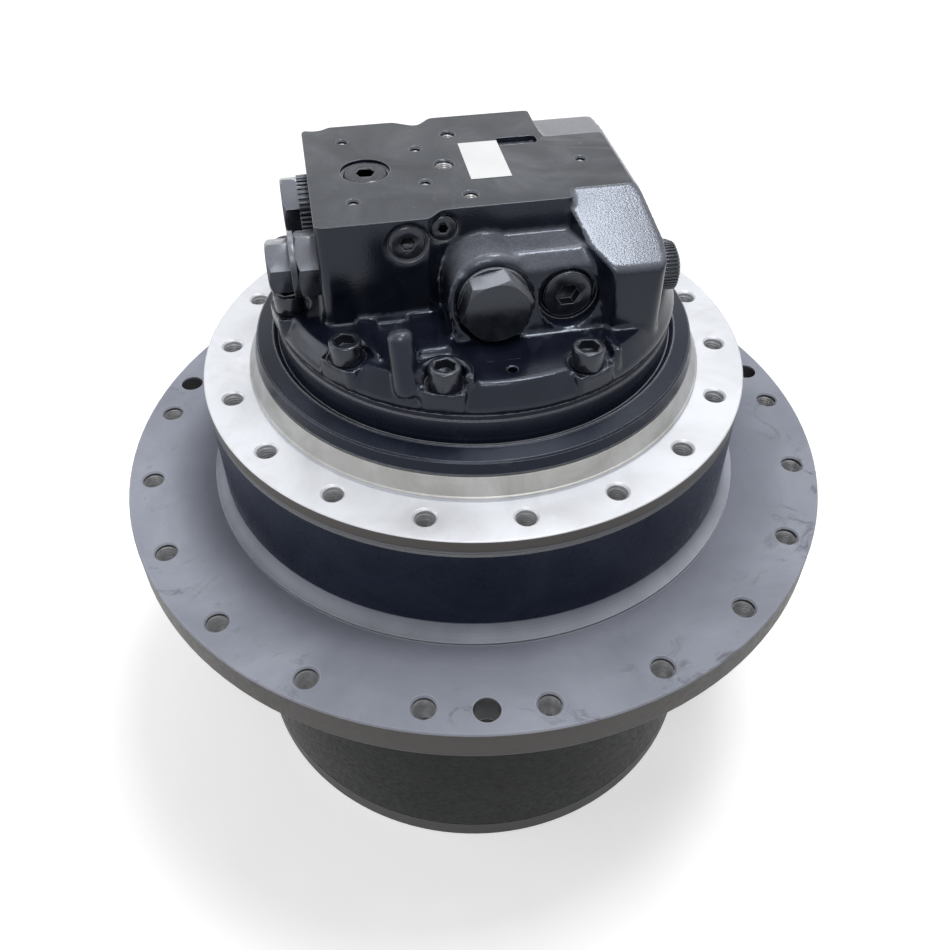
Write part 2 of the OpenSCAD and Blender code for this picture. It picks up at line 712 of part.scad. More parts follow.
// A headed planet pin with its two thrust washers
module planet_pin(pin_r, wheel_z0, wheel_z1, top_z) {
    washer_gap = (2 - washer_t) / 2;
    head_z = wheel_z0 - 2 - head_t;
    color("#8e9296")
        union() {
            translate([0, 0, head_z]) cylinder(r = pin_r + 8, h = head_t, $fn = 64);
            translate([0, 0, head_z + 0.5]) cylinder(r = pin_r, h = top_z - head_z - 0.5, $fn = 64);
        }
    color("goldenrod") {
        tube(pin_r + 8, pin_r + seat, wheel_z0 - 2 + washer_gap, wheel_z0 - washer_gap);
        tube(pin_r + 8, pin_r + seat, wheel_z1 + washer_gap, wheel_z1 + 2 - washer_gap);
    }
}
module planet_1_pins() {
    ring_of(planet_1_n, arm_1) planet_pin(pin_1_d / 2, stage_1_z0, stage_1_z1, carrier_1_z1);
}
module planet_2_pins() {
    ring_of(planet_2_n, arm_2) planet_pin(pin_2_d / 2, stage_2_z0, stage_2_z1, carrier_2_z1 - 0.5);
}

// Splined shank that joins the second sun to the first carrier
shank_r = 26;
module carrier_1() {
    color("#7d8184")
        difference() {
            union() {
                translate([0, 0, carrier_1_z0]) cylinder(r = shank_r + 14, h = carrier_1_t);
                for (i = [0 : planet_1_n - 1])
                    rotate([0, 0, i * 360 / planet_1_n]) {
                        translate([arm_1, 0, carrier_1_z0])
                            cylinder(r = pin_1_d / 2 + 10, h = carrier_1_t);
                        translate([0, -22, carrier_1_z0]) cube([arm_1, 44, carrier_1_t]);
                    }
            }
            ring_of(planet_1_n, arm_1)
                translate([0, 0, carrier_1_z0 - over])
                    cylinder(r = pin_1_d / 2 + fit, h = carrier_1_t + 2 * over, $fn = 64);
            translate([0, 0, carrier_1_z0 - over])
                linear_extrude(carrier_1_t + 2 * over)
                    polygon(spline_points(18, shank_r - 1.5 + fit, shank_r + fit));
        }
}
module sun_2() {
    color("#b5b9bd")
        difference() {
            union() {
                translate([0, 0, carrier_1_z0])
                    linear_extrude(carrier_1_t + 3) polygon(spline_points(18, shank_r - 1.5, shank_r));
                translate([0, 0, carrier_1_z1 + 2])
                    linear_extrude(stage_2_z1 - carrier_1_z1 - 2)
                        polygon(gear_points(sun_2_z, gear_m * (sun_2_z / 2 - 1.25),
                            gear_m * (sun_2_z / 2 + 0.95), half_tooth(sun_2_z)));
            }
            translate([0, 0, carrier_1_z0 - over]) cylinder(r = stem_r + 5, h = stage_2_z1, $fn = 64);
        }
}
module carrier_2() {
    color("#7d8184")
        difference() {
            translate([0, 0, carrier_2_z0]) cylinder(r = arm_2 + pin_2_d / 2 + 16, h = carrier_2_t);
            ring_of(planet_2_n, arm_2)
                translate([0, 0, carrier_2_z0 - over])
                    cylinder(r = pin_2_d / 2 + fit, h = carrier_2_t + 2 * over, $fn = 64);
            ring_of(planet_2_n, arm_2, 45) {
                translate([0, 0, carrier_2_z0 - over])
                    cylinder(r = 7.5, h = carrier_2_t + 2 * over, $fn = hole_fn);
                translate([0, 0, carrier_2_z0 - over]) cylinder(r = 12, h = 10 + over, $fn = hole_fn);
            }
            translate([0, 0, carrier_2_z0 - over]) cylinder(r = stem_r + 10, h = carrier_2_t + 2 * over);
        }
}
module carrier_2_screws() {
    color("#2b2d30")
        ring_of(planet_2_n, arm_2, 45)
            translate([0, 0, carrier_2_z0 + 10 - 0.05]) mirror([0, 0, 1]) cap_screw(14, 9.5, 32);
}

module sun_1() {
    color("#b5b9bd")
        union() {
            translate([0, 0, end_cover_t + thrust_t + seat])
                cylinder(r = 20, h = stage_1_z0 - end_cover_t - thrust_t, $fn = 48);
            translate([0, 0, stage_1_z0 - 0.5])
                linear_extrude(stage_1_w + 0.5)
                    polygon(gear_points(sun_1_z, gear_m * (sun_1_z / 2 - 1.25),
                        gear_m * (sun_1_z / 2 + 0.95), half_tooth(sun_1_z)));
            translate([0, 0, stage_1_z1 - over])
                cylinder(r = stem_r, h = shaft_z0 - seat - stage_1_z1 + over, $fn = 64);
            translate([0, 0, shaft_z0 - 2])
                linear_extrude(32) polygon(spline_points(12, stem_r - 1.7, stem_r - 0.2));
        }
}
module motor_shaft() {
    journal_z1 = cavity_z0 + 4;
    color("silver")
        difference() {
            union() {
                translate([0, 0, shaft_z0]) cylinder(r = journal_r, h = journal_z1 - shaft_z0);
                translate([0, 0, journal_z1 - over])
                    cylinder(r = shaft_r, h = shaft_z1 - journal_z1 + over);
            }
            translate([0, 0, shaft_z0 - over])
                linear_extrude(38) polygon(spline_points(12, stem_r - 1.7 + fit, stem_r - 0.2 + fit));
        }
}
module shaft_bearings() {
    color("silver") {
        tube(lower_race_r, lower_race_r - 3, shaft_race_z0, shaft_race_z0 + lower_race_w);
        ring_of(14, journal_r + seat + 6.7)
            translate([0, 0, shaft_race_z0 + 2]) cylinder(r = 6.5, h = lower_race_w - 4, $fn = 24);
        tube(upper_race_r, upper_race_r - 3, cover_z + 2, shaft_z1 - 1);
        ring_of(18, shaft_r + 3)
            translate([0, 0, cover_z + 3]) cylinder(r = 2.8, h = shaft_z1 - cover_z - 5, $fn = 16);
    }
}
module shaft_seal() {
    color("#202020")
        translate([0, 0, shaft_race_z0 - 12])
            rotate_extrude()
                polygon([[seal_lip_r - 3, 0], [seal_lip_r, 0], [seal_lip_r, 10], [journal_r + 5, 10],
                    [journal_r + 0.3, 7], [journal_r + 0.3, 5], [journal_r + 5, 7.5], [seal_lip_r - 3, 7.5]]);
}

// Cylinder block with its bores, port kidneys and the teeth that carry the friction discs
block_r = block_d / 2;
disc_teeth = 24;
module cylinder_block() {
    spring_seat_z = block_z0 + 12;
    color("#9a9ea1")
        difference() {
            union() {
                translate([0, 0, block_z0]) cylinder(r = block_r, h = block_len);
                translate([0, 0, pack_z0 - 4])
                    linear_extrude(pack_z1 - pack_z0 + 8)
                        polygon(spline_points(disc_teeth, block_r - 0.5, block_r + 4));
            }
            ring_of(piston_n, piston_pcd / 2) {
                translate([0, 0, block_z0 - over])
                    cylinder(r = piston_d / 2 + fit, h = block_len - 9, $fn = 64);
                translate([0, 0, block_z1 - 12]) cylinder(r = 5.5, h = 13, $fn = hole_fn);
            }
            translate([0, 0, block_z0 - over]) cylinder(r = shaft_r + fit, h = block_len + 2 * over);
            translate([0, 0, spring_seat_z]) cylinder(r = shaft_r + 7, h = 40);
        }
}
module block_spring() {
    color("#606468")
        translate([0, 0, block_z0 + 12.2]) coil(shaft_r + 3.4, 2.4, 39.6, 5, 16, 8);
}
function swing_height(a) = piston_pcd / 2 * sin(a) * tan(swash_tilt);
piston_ball_r = 8;
piston_body = 62;
module pistons() {
    color("#c9ccce")
        for (i = [0 : piston_n - 1]) {
            a = i * 360 / piston_n;
            translate([piston_pcd / 2 * cos(a), piston_pcd / 2 * sin(a), swing_z + swing_height(a)])
                union() {
                    sphere(r = piston_ball_r, $fn = 48);
                    cylinder(r = piston_ball_r - 2, h = 14, $fn = 48);
                    translate([0, 0, 10])
                        cylinder(r1 = piston_ball_r - 2, r2 = piston_d / 2, h = 4, $fn = 64);
                    translate([0, 0, 13.9]) cylinder(r = piston_d / 2, h = piston_body, $fn = 64);
                }
        }
}
// What lies on the swash plate is built flat about the swing centre, then tilted
module on_swash() { translate([0, 0, swing_z]) rotate([swash_tilt, 0, 0]) children(); }
slipper_gap = 0.2;
slipper_flange_t = 4;
guide_r = 24;
module at_slippers() {
    for (i = [0 : piston_n - 1])
        let(a = i * 360 / piston_n)
            translate([piston_pcd / 2 * cos(a), piston_pcd / 2 * sin(a) / cos(swash_tilt), 0]) children();
}
module slippers() {
    color("goldenrod")
        on_swash()
            at_slippers()
                difference() {
                    union() {
                        translate([0, 0, slipper_gap - slipper_h])
                            cylinder(r = 12.5, h = slipper_flange_t, $fn = 48);
                        translate([0, 0, slipper_gap - slipper_h])
                            cylinder(r = 10.2, h = slipper_h + 1.5, $fn = 48);
                    }
                    sphere(r = piston_ball_r + 0.15, $fn = 48);
                }
}
module retainer_plate() {
    z0 = slipper_gap - slipper_h + slipper_flange_t + seat;
    color("#9a9ea1")
        on_swash()
            difference() {
                translate([0, 0, z0]) cylinder(r = piston_pcd / 2 + 18, h = 3.5);
                at_slippers() translate([0, 0, z0 - over]) cylinder(r = 10.9, h = 6, $fn = 48);
                sphere(r = guide_r + seat, $fn = 96);
            }
}
module ball_guide() {
    color("#9a9ea1")
        translate([0, 0, swing_z])
            difference() {
                intersection() {
                    sphere(r = guide_r, $fn = 96);
                    translate([0, 0, -9]) cylinder(r = guide_r + over, h = 20);
                }
                translate([0, 0, -20]) cylinder(r = shaft_r + fit, h = 40);
            }
}
module swash_plate() {
    swash_r = cavity_d / 2 - 12;
    face = -slipper_h;
    color("#9a9ea1")
        on_swash()
            difference() {
                union() {
                    translate([0, 0, face - swash_t]) cylinder(r = swash_r, h = swash_t);
                    intersection() {
                        union()
                            for (x = [-48, 32]) translate([x, 0, 0]) rotate([0, 90, 0])
                                cylinder(r = cradle_r, h = 16);
                        translate([-60, -34, -cradle_r - over]) cube([120, 68, cradle_r - slipper_h - 2]);
                    }
                }
                translate([0, 0, -cradle_r - over]) cylinder(r = shaft_r + 10, h = cradle_r);
            }
}
// The speed piston stands under the low side of the swash plate
speed_top = swing_z + speed_y * tan(swash_tilt) - (slipper_h + swash_t) / cos(swash_tilt);
module speed_piston() {
    color("#c9ccce")
        union() {
            translate([0, speed_y, cavity_z0 - 18])
                cylinder(r = speed_r, h = speed_top - cavity_z0 + 18 - speed_r, $fn = 48);
            translate([0, speed_y, speed_top - speed_r - seat]) sphere(r = speed_r, $fn = 48);
        }
}

function pack_z(i) = pack_z0 + i * (disc_t + disc_gap);
module friction_discs() {
    color("#7a5a3a")
        for (i = [0 : disc_n - 1])
            translate([0, 0, pack_z(2 * i + 1)])
                linear_extrude(disc_t)
                    difference() {
                        circle(r = disc_bore_r - 3);
                        polygon(spline_points(disc_teeth, block_r + seat, block_r + 4 + seat));
                    }
}
module separator_plates() {
    color("#9a9ea1")
        for (i = [0 : disc_n])
            tube(disc_bore_r - seat, block_r + 7, pack_z(2 * i), pack_z(2 * i) + disc_t);
}
module brake_piston() {
    color("#8e9296")
        difference() {
            union() {
                translate([0, 0, pack_z1])
                    cylinder(r = disc_bore_r - fit, h = piston_big_z0 - pack_z1 + 0.1);
                translate([0, 0, piston_big_z0])
                    cylinder(r = brake_bore_r - fit, h = brake_piston_z1 - piston_big_z0);
            }
            translate([0, 0, pack_z1 - over]) cylinder(r = block_r + 7, h = brake_piston_h + 2 * over);
        }
}
module brake_springs() {
    top = cover_z - pilot_h + brake_pocket;
    color("#b03a2e")
        ring_of(brake_spring_n, brake_spring_r)
            translate([0, 0, brake_piston_z1 + 0.2]) coil(4, 1.3, top - brake_piston_z1 - 0.4, 4, 10, 6);
}
module valve_plate() {
    plate_z = cover_z - pilot_h - valve_plate_t;
    color("goldenrod")
        difference() {
            translate([0, 0, plate_z]) cylinder(r = block_r - 2, h = valve_plate_t - fit);
            translate([0, 0, plate_z - over]) cylinder(r = shaft_r + 2, h = valve_plate_t + 2 * over);
            for (a0 = [20, 200])
                rotate([0, 0, a0])
                    translate([0, 0, plate_z - over])
                        rotate_extrude(angle = 140) translate([piston_pcd / 2 - 5.5, 0])
                            square([11, valve_plate_t + 2 * over]);
        }
}
module cover_seal() {
    color("#202020") torus(brake_bore_r - 1.45, 1.35, cover_z - 4);
}

// Outline of the block seen from above, right side of the main body first
function main_outline() = [
    [main_right, front_mid_y, 0], [boss_left + 2, front_mid_y, 4], [boss_left - 6, front_y, 4],
    [-block_left, front_y, 4], [-block_left, back_y, 6], [-38, back_y, 5], [-24, back_y - 8, 5],
    [-15, back_y + 2, 5], [main_right, back_y + 2, 0]];
function spool_side() = [
    [-83, cover_flange_z - 6, 0], [-81, top_z - 25, 7],
    [-31, top_z, 5], [32, top_z, 10], [77, top_z - 8, 6], [80, cover_flange_z - 6, 0]];
function spool_front() = [
    [main_right - 6, cover_flange_z - 6, 0], [block_right + 2, cover_flange_z - 6, 0],
    [block_right, top_z - 20, 8], [block_right - 7, top_z, 6], [main_right - 6, top_z, 0]];
function spool_plan() = [
    [main_right - 6, -24, 0], [main_right + 4, -64, 3], [main_right + 16, -82, 5],
    [block_right - 2, -82, 8], [block_right + 2, -40, 20], [block_right + 2, 44, 14],
    [block_right - 6, 79, 14], [main_right - 6, 79, 0]];
// Cover flange: a short turned foot, then a cast wall that narrows towards its upper edge
module cover_flange() {
    low_r = neck_d / 2 - 0.3;
    top_r = cover_flange_d / 2;
    lobe_z0 = cover_z + 4;
    rotate_extrude($fn = 144)
        polygon([[0, cover_z], [low_r, cover_z], [low_r, cover_z + 2.4], [low_r + 1.2, cover_z + 3.2],
            [low_r + 1, cover_z + 6], [top_r + 1.6, cover_flange_z - 3], [top_r - 0.6, cover_flange_z],
            [0, cover_flange_z]]);
    for (a = cover_angles)
        rotate([0, 0, a - 90])
            translate([cover_pcd / 2 - 20, -lobe_w / 2, lobe_z0])
                linear_extrude(screw_seat_z + 0.6 - lobe_z0)
                    polygon(rounded([
                        [0, 0, 0], [20 + lobe_reach, 0, 3], [20 + lobe_reach, lobe_w, 3], [0, lobe_w, 0]]));
}
module spool_housing() {
    low_z = cover_flange_z - 6;
    intersection() {
        translate([0, 0, low_z]) linear_extrude(top_z - low_z) polygon(rounded(spool_plan()));
        along_x(main_right - 7, block_right + 4, rounded(spool_side()));
        along_y(-84, 82, rounded(spool_front()));
    }
}
module front_boss() {
    arch_len = front_mid_y + 6 - boss_y;
    side = [
        [front_mid_y + 6, cover_flange_z - 6, 0], [-79, cover_flange_z - 6, 0], [-77, cover_flange_z + 6, 3],
        [boss_y - 1, boss_top_z - 8, 4], [boss_y + 6, boss_top_z, 4], [front_mid_y + 6, boss_top_z, 0]];
    intersection() {
        along_x(boss_left - 1, boss_right, rounded(side));
        union() {
            translate([socket_plug_x - 30, -90, cover_flange_z - 6]) cube([60, 60, block_h]);
            to_front(hex_plug_x, front_mid_y + 6, plug_z) cylinder(r = arch_r, h = 60);
            translate([boss_left + 1, -90, cover_flange_z - 6])
                cube([2 * arch_r - 2, 60, plug_z - cover_flange_z + 6]);
        }
    }
    to_front(hex_plug_x, front_mid_y + 6, plug_z)
        rotate_extrude()
            polygon([[0, 0], [arch_r, 0], [arch_r, arch_len - 3], [arch_r - 3, arch_len], [0, arch_len]]);
}
// Low web with a channel, and in it a leaning half round rib, between the two left front screws
module front_web() {
    web_z = cover_flange_z + 3.5;
    outline = [
        [-76, front_y + 6, 0], [-77, -66, 6], [-70, -87, 7], [-28, -87, 6], [-22, -68, 6], [-22, front_y + 6, 0]];
    lean = rib_head - rib_foot;
    rib_len = norm(lean);
    difference() {
        translate([0, 0, cover_flange_z - 4]) linear_extrude(web_z - cover_flange_z + 4)
            polygon(rounded(outline));
        translate([rib_head[0] - 10, -90, cover_flange_z - 5]) cube([20, 38, 20]);
    }
    translate(rib_foot)
        rotate([-atan(lean[1] / lean[2]), atan(lean[0] / lean[2]), 0])
            difference() {
                rotate_extrude($fn = 48)
                    polygon([[0, 0], [rib_r - 2.5, 0], [rib_r - 0.6, 1.2], [rib_r, 3.5], [rib_r, rib_len - 4],
                        [rib_r - 1.2, rib_len - 1.4], [rib_r - 4, rib_len], [0, rib_len]]);
                translate([0, 0, rib_len - 2.5]) cylinder(r = 2.2, h = 5, $fn = 24);
            }
}
// Wall round the third screw, open to the front, and the small lug beside the fourth
module screw_wall() {
    rotate([0, 0, wall_angle - 90])
        translate([cover_pcd / 2, 0, cover_flange_z - 8])
            difference() {
                cylinder(r = spot_r + 5, h = 14);
                translate([3, -spot_r - 6, -over]) cube([20, 2 * spot_r + 12, 16]);
            }
    translate([lug[0], lug[1], cover_flange_z - 8])
        linear_extrude(13) polygon(rounded([[0, 0, 2], [6, 0, 2], [5, 15, 2], [-1, 15, 2]]));
}
module port_bosses() {
    for (x = port_x) to_back(x, 40, port_z) cylinder(r = port_r + 8, h = port_face_y - 40);
    to_back(drain_x, 60, port_z - 8) cylinder(r = drain_r + 5, h = drain_face_y + 1 - 60);
}
module block_drillings() {
    for (a = cover_angles)
        rotate([0, 0, a - 90]) translate([cover_pcd / 2, 0, 0]) {
            translate([0, 0, cover_z - over])
                cylinder(r = cover_screw_d / 2 + 0.5, h = cover_flange_t, $fn = hole_fn);
            translate([0, 0, screw_seat_z]) cylinder(r = spot_r, h = block_h + 20, $fn = 48);
        }
    to_right(spool_bore_x0, spool_y, spool_z)
        cylinder(r = spool_d / 2 + fit, h = block_right - spool_bore_x0 + 10, $fn = 64);
    to_right(block_right - 0.5, spool_y, spool_z) cylinder(r = cap_r + 1, h = 20, $fn = 64);
    to_front(hex_plug_x, spool_y - spool_d / 2 - 1, plug_z) cylinder(r = 13, h = 40, $fn = 48);
    to_front(hex_plug_x, boss_y, plug_z) cylinder(r = plug_hex * 0.56 + 1.4, h = 30, $fn = 64);
    to_front(socket_plug_x, spool_y - spool_d / 2 - 1, plug_z - 0.5)
        cylinder(r = socket_plug_r, h = 40, $fn = 48);
    to_front(socket_plug_x, boss_y - 1, plug_z - 0.5) cylinder(r = socket_plug_r + 3, h = 20, $fn = 48);
    to_front(gauge_a[0], front_y + 14, cover_flange_z + gauge_a[1])
        cylinder(r = gauge_a[2], h = 20, $fn = 48);
    to_front(gauge_a[0], front_y + 1.5, cover_flange_z + gauge_a[1])
        cylinder(r = gauge_a[2] + 1.3, h = 20, $fn = 48);
    to_front(gauge_b[0], front_mid_y + 14, cover_flange_z + gauge_b[1])
        cylinder(r = gauge_b[2], h = 30, $fn = 48);
    to_front(gauge_b[0], front_mid_y + 0.6, cover_flange_z + gauge_b[1])
        cylinder(r = gauge_b[2] + 1, h = 30, $fn = 48);
    translate([top_plug[0], top_plug[1], top_z - 18]) cylinder(r = top_plug_r, h = 30, $fn = 48);
    translate([top_plug[0], top_plug[1], top_z - 2.5]) cylinder(r = top_plug_r + 1.8, h = 30, $fn = 48);
    to_left(-block_left + 20, ribbed_y, ribbed_z) cylinder(r = 13, h = 40, $fn = 48);
    to_left(-block_left + 22, relief_y, relief_z) cylinder(r = 12, h = 40, $fn = 48);
    for (x = port_x) to_back(x, port_face_y, port_z) tapped(port_r, port_len);
    to_back(drain_x, drain_face_y + 1, port_z - 8) tapped(drain_r, 18);
    translate([flange_hole[0], flange_hole[1], cover_flange_z - 8]) cylinder(r = 2.6, h = 12, $fn = 24);
    translate([0, 0, cover_z - pilot_h - over])
        cylinder(r = upper_race_r + fit, h = shaft_z1 + 2 - cover_z + pilot_h + over);
    for (p = top_holes)
        translate([p[0], p[1], top_z]) tapped(p[2], 9 + 1.4 * p[2]);
    translate([top_slot[0], top_slot[1], top_z - 5]) cube([25, 10, 10]);
}
module valve_block() {
    color("#26282b")
        on_block()
            difference() {
                union() {
                    cover_flange();
                    difference() {
                        translate([0, 0, cover_z - pilot_h])
                            cylinder(r = brake_bore_r - fit, h = pilot_h + over);
                        translate([0, 0, cover_z - 6]) tube(brake_bore_r + over, brake_bore_r - 3, 0, 4);
                        ring_of(brake_spring_n, brake_spring_r, -block_turn)
                            translate([0, 0, cover_z - pilot_h - over])
                                cylinder(r = brake_spring_hole_r, h = brake_pocket + over, $fn = 24);
                    }
                    translate([0, 0, cover_flange_z - 6])
                        linear_extrude(top_z - cover_flange_z + 6) polygon(rounded(main_outline()));
                    spool_housing();
                    front_boss();
                    front_web();
                    screw_wall();
                    port_bosses();
                }
                block_drillings();
            }
}

module cover_screws() {
    color("#2b2d30")
        for (a = cover_angles)
            from_front(a + block_turn)
                translate([cover_pcd / 2, 0, screw_seat_z + 0.02])
                    cap_screw(cover_screw_d, cover_screw_d, 38);
}
module top_port_plug() {
    color("#2b2d30")
        on_block() translate([top_plug[0], top_plug[1], top_z - 1]) socket_plug(top_plug_r, 6, 16);
}
module front_hex_plug() {
    color("#26282b")
        on_block()
            to_front(hex_plug_x, boss_y, plug_z)
                union() {
                    translate([0, 0, fit]) cylinder(r = plug_hex * 0.56, h = 2);
                    translate([0, 0, 1.9]) rotate([0, 0, hex_plug_turn]) hex_head(plug_hex, 13);
                    translate([0, 0, -8]) cylinder(r = 13 - fit, h = 9, $fn = 48);
                }
}
module front_socket_plug() {
    color("#2b2d30")
        on_block() to_front(socket_plug_x, boss_y - 3, plug_z - 0.5) socket_plug(socket_plug_r, 7, 12);
}
module gauge_plugs() {
    color("#2b2d30")
        on_block() {
            to_front(gauge_a[0], front_y + 0.8, cover_flange_z + gauge_a[1])
                socket_plug(gauge_a[2], 4.5, 12);
            to_front(gauge_b[0], front_mid_y - 0.3, cover_flange_z + gauge_b[1])
                socket_plug(gauge_b[2], 3, 12);
        }
}
module ribbed_plug() {
    color("#2b2d30")
        on_block()
            to_left(-block_left, ribbed_y, ribbed_z)
                union() {
                    translate([0, 0, -14]) cylinder(r = 13 - fit, h = 15, $fn = 48);
                    translate([0, 0, fit]) linear_extrude(6.5) polygon(spline_points(36, 16.8, 18));
                    translate([0, 0, 6.4]) rotate([0, 0, 30]) hex_head(side_plug_hex, 10);
                }
}
module relief_valve() {
    color("#2b2d30")
        on_block()
            to_left(-block_left, relief_y, relief_z) {
                union() {
                    translate([0, 0, -18]) cylinder(r = 12 - fit, h = 19, $fn = 48);
                    translate([0, 0, fit]) rotate([0, 0, 30]) hex_head(side_plug_hex, 12);
                    translate([0, 0, 11.9]) cylinder(r = side_plug_hex * 0.56, h = 3);
                }
                translate([0, 0, 14.9 + 2 * fit]) rotate([0, 0, 30]) hex_head(side_plug_hex * 0.82, 13);
            }
}
// Spool with its lands, and the springs that hold it in the middle
module counterbalance_spool() {
    r = spool_d / 2;
    lands = [[0, 16], [26, 20], [56, 14], [80, 12]];
    color("#c9ccce")
        on_block()
            to_right(spool_x0, spool_y, spool_z)
                union() {
                    cylinder(r = r - 3, h = spool_len, $fn = 48);
                    for (l = lands)
                        translate([0, 0, l[0] * spool_len / 92])
                            cylinder(r = r, h = l[1] * spool_len / 92, $fn = 64);
                }
}
module spool_springs() {
    color("#606468")
        on_block() {
            to_right(spool_bore_x0 + seat, spool_y, spool_z)
                coil(spool_d / 2 - 2.4, 1.2, spool_x0 - spool_bore_x0 - 2 * seat, 4, 12, 6);
            to_right(spring_x0, spool_y, spool_z)
                coil(spool_d / 2 - 3.4, 1.2, spring_len, 5, 12, 6);
        }
}
module spool_cap() {
    color("#2b2d30")
        on_block()
            to_right(cap_x, spool_y, spool_z)
                difference() {
                    union() {
                        cylinder(r = cap_r - 1.5, h = 3.3, $fn = 48);
                        translate([0, 0, 3]) linear_extrude(cap_len - 5)
                            polygon(spline_points(40, cap_r - 1, cap_r));
                        translate([0, 0, cap_len - 2.1])
                            cylinder(r1 = cap_r - 1.5, r2 = cap_r - 4, h = 2, $fn = 48);
                    }
                    translate([0, 0, -over])
                        cylinder(r = spool_d / 2 - 1, h = cap_hollow + over, $fn = 48);
                    translate([0, 0, cap_len - 4]) cylinder(r = 4, h = 6, $fn = 6);
                }
}

hub();
ring_gear();
end_cover();
end_cover_screws();
drain_plugs();
thrust_plate();
main_bearing_outer_rings();
seal_ring_turning();
seal_toric_turning();
main_bearing_balls();
motor_housing();
main_bearing_inner_rings();
bearing_nut();
seal_ring_fixed();
seal_toric_fixed();
carrier_2();
carrier_2_screws();
planet_2_pins();
planet_2_rollers();
planet_2_a();
planet_2_b();
planet_2_c();
planet_2_d();
carrier_1();
sun_2();
planet_1_pins();
planet_1_rollers();
planet_1_a();
planet_1_b();
planet_1_c();
sun_1();
motor_shaft();
cylinder_block();
pistons();
ball_guide();
block_spring();
friction_discs();
slippers();
retainer_plate();
swash_plate();
speed_piston();
brake_piston();
brake_springs();
separator_plates();
valve_plate();
shaft_bearings();
shaft_seal();
cover_seal();
valve_block();
cover_screws();
top_port_plug();
front_hex_plug();
front_socket_plug();
gauge_plugs();
ribbed_plug();
relief_valve();
counterbalance_spool();
spool_springs();
spool_cap();
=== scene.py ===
"""Looks of the hydraulic travel drive.

Cast and painted iron, bare machined steel, black oxide screws and plugs,
cut threads, springs and the blank sticker.
"""
import bpy
import math
from mathutils import Matrix, Vector


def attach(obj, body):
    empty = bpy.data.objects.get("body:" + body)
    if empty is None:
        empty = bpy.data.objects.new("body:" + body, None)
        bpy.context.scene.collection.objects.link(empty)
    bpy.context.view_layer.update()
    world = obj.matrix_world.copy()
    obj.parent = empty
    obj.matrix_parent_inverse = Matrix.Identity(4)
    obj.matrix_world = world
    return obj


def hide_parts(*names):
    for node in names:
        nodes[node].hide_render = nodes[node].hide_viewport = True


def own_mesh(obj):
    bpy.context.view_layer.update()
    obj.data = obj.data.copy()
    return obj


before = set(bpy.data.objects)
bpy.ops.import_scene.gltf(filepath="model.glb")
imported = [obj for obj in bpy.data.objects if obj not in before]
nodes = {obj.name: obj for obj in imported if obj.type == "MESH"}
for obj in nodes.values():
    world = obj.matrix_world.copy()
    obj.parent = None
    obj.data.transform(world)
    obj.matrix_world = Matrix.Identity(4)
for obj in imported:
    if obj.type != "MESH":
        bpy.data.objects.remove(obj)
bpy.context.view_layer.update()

# Sizes in metres, the same as in the part's source
BLOCK_TURN = math.radians(10.6)
FLANGE_Z = 0.248
FRAME_Z = 0.331
TOP_Z = 0.454
COLLAR_WALL_Z = 0.3449
LIP_Z = 0.3215
FLANGE_R = 0.241
FRAME_R = 0.175
RING_R = 0.1455
COVER_PITCH_R = 0.1155
COVER_SEAT_Z = 0.390
COVER_SCREW_ANGLES = (-78, -47.5, -18, 22, 82, 145, 172, 200, 228, 255)

# Fineness of the work on meshes, in metres
SAME_POINT = 0.00001
CAST_VOXEL = 0.00137


def deselect():
    if bpy.context.object and bpy.context.object.mode != "OBJECT":
        bpy.ops.object.mode_set(mode="OBJECT")
    bpy.ops.object.select_all(action="DESELECT")


def take(piece):
    """Makes a piece the only one selected."""
    deselect()
    piece.select_set(True)
    bpy.context.view_layer.objects.active = piece


def take_all(pieces):
    deselect()
    for piece in pieces:
        piece.select_set(True)
    bpy.context.view_layer.objects.active = pieces[0]


def apply_place():
    bpy.ops.object.transform_apply(location=True, rotation=True, scale=True)


def mm(x, y, z):
    return (x / 1000, y / 1000, z / 1000)


def on_block(x, y, z):
    """A point given along the turned valve block, in the part's own frame."""
    c, s = math.cos(BLOCK_TURN), math.sin(BLOCK_TURN)
    return Vector((x * c - y * s, x * s + y * c, z))


def settle(piece, name, body):
    """Puts a modelled piece's place into its mesh, names it and lets it ride on a body."""
    take(piece)
    apply_place()
    piece.name = name
    piece.data.name = name
    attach(piece, body)


# Materials

def new_material(name):
    material = bpy.data.materials.new(name)
    material.use_nodes = True
    tree = material.node_tree
    shader = tree.nodes["Principled BSDF"]
    return material, tree, shader


def add(tree, kind, **values):
    node = tree.nodes.new(kind)
    for key, value in values.items():
        setattr(node, key, value)
    return node


def object_coordinates(tree):
    return add(tree, "ShaderNodeTexCoord").outputs["Object"]


def separate(tree, vector):
    axes = add(tree, "ShaderNodeSeparateXYZ")
    tree.links.new(vector, axes.inputs[0])
    return axes.outputs


def noise(tree, where, scale, detail=4.0, roughness=0.55, distortion=0.0):
    texture = add(tree, "ShaderNodeTexNoise")
    texture.inputs["Scale"].default_value = scale
    texture.inputs["Detail"].default_value = detail
    texture.inputs["Roughness"].default_value = roughness
    texture.inputs["Distortion"].default_value = distortion
    tree.links.new(where, texture.inputs["Vector"])
    return texture.outputs["Fac"]


def ramp(tree, factor, stops):
    node = add(tree, "ShaderNodeValToRGB")
    elements = node.color_ramp.elements
    while len(elements) < len(stops):
        elements.new(0.5)
    for element, (place, value) in zip(elements, stops):
        element.position = place
        element.color = value if len(value) == 4 else (*value, 1)
    tree.links.new(factor, node.inputs["Fac"])
    return node.outputs["Color"]


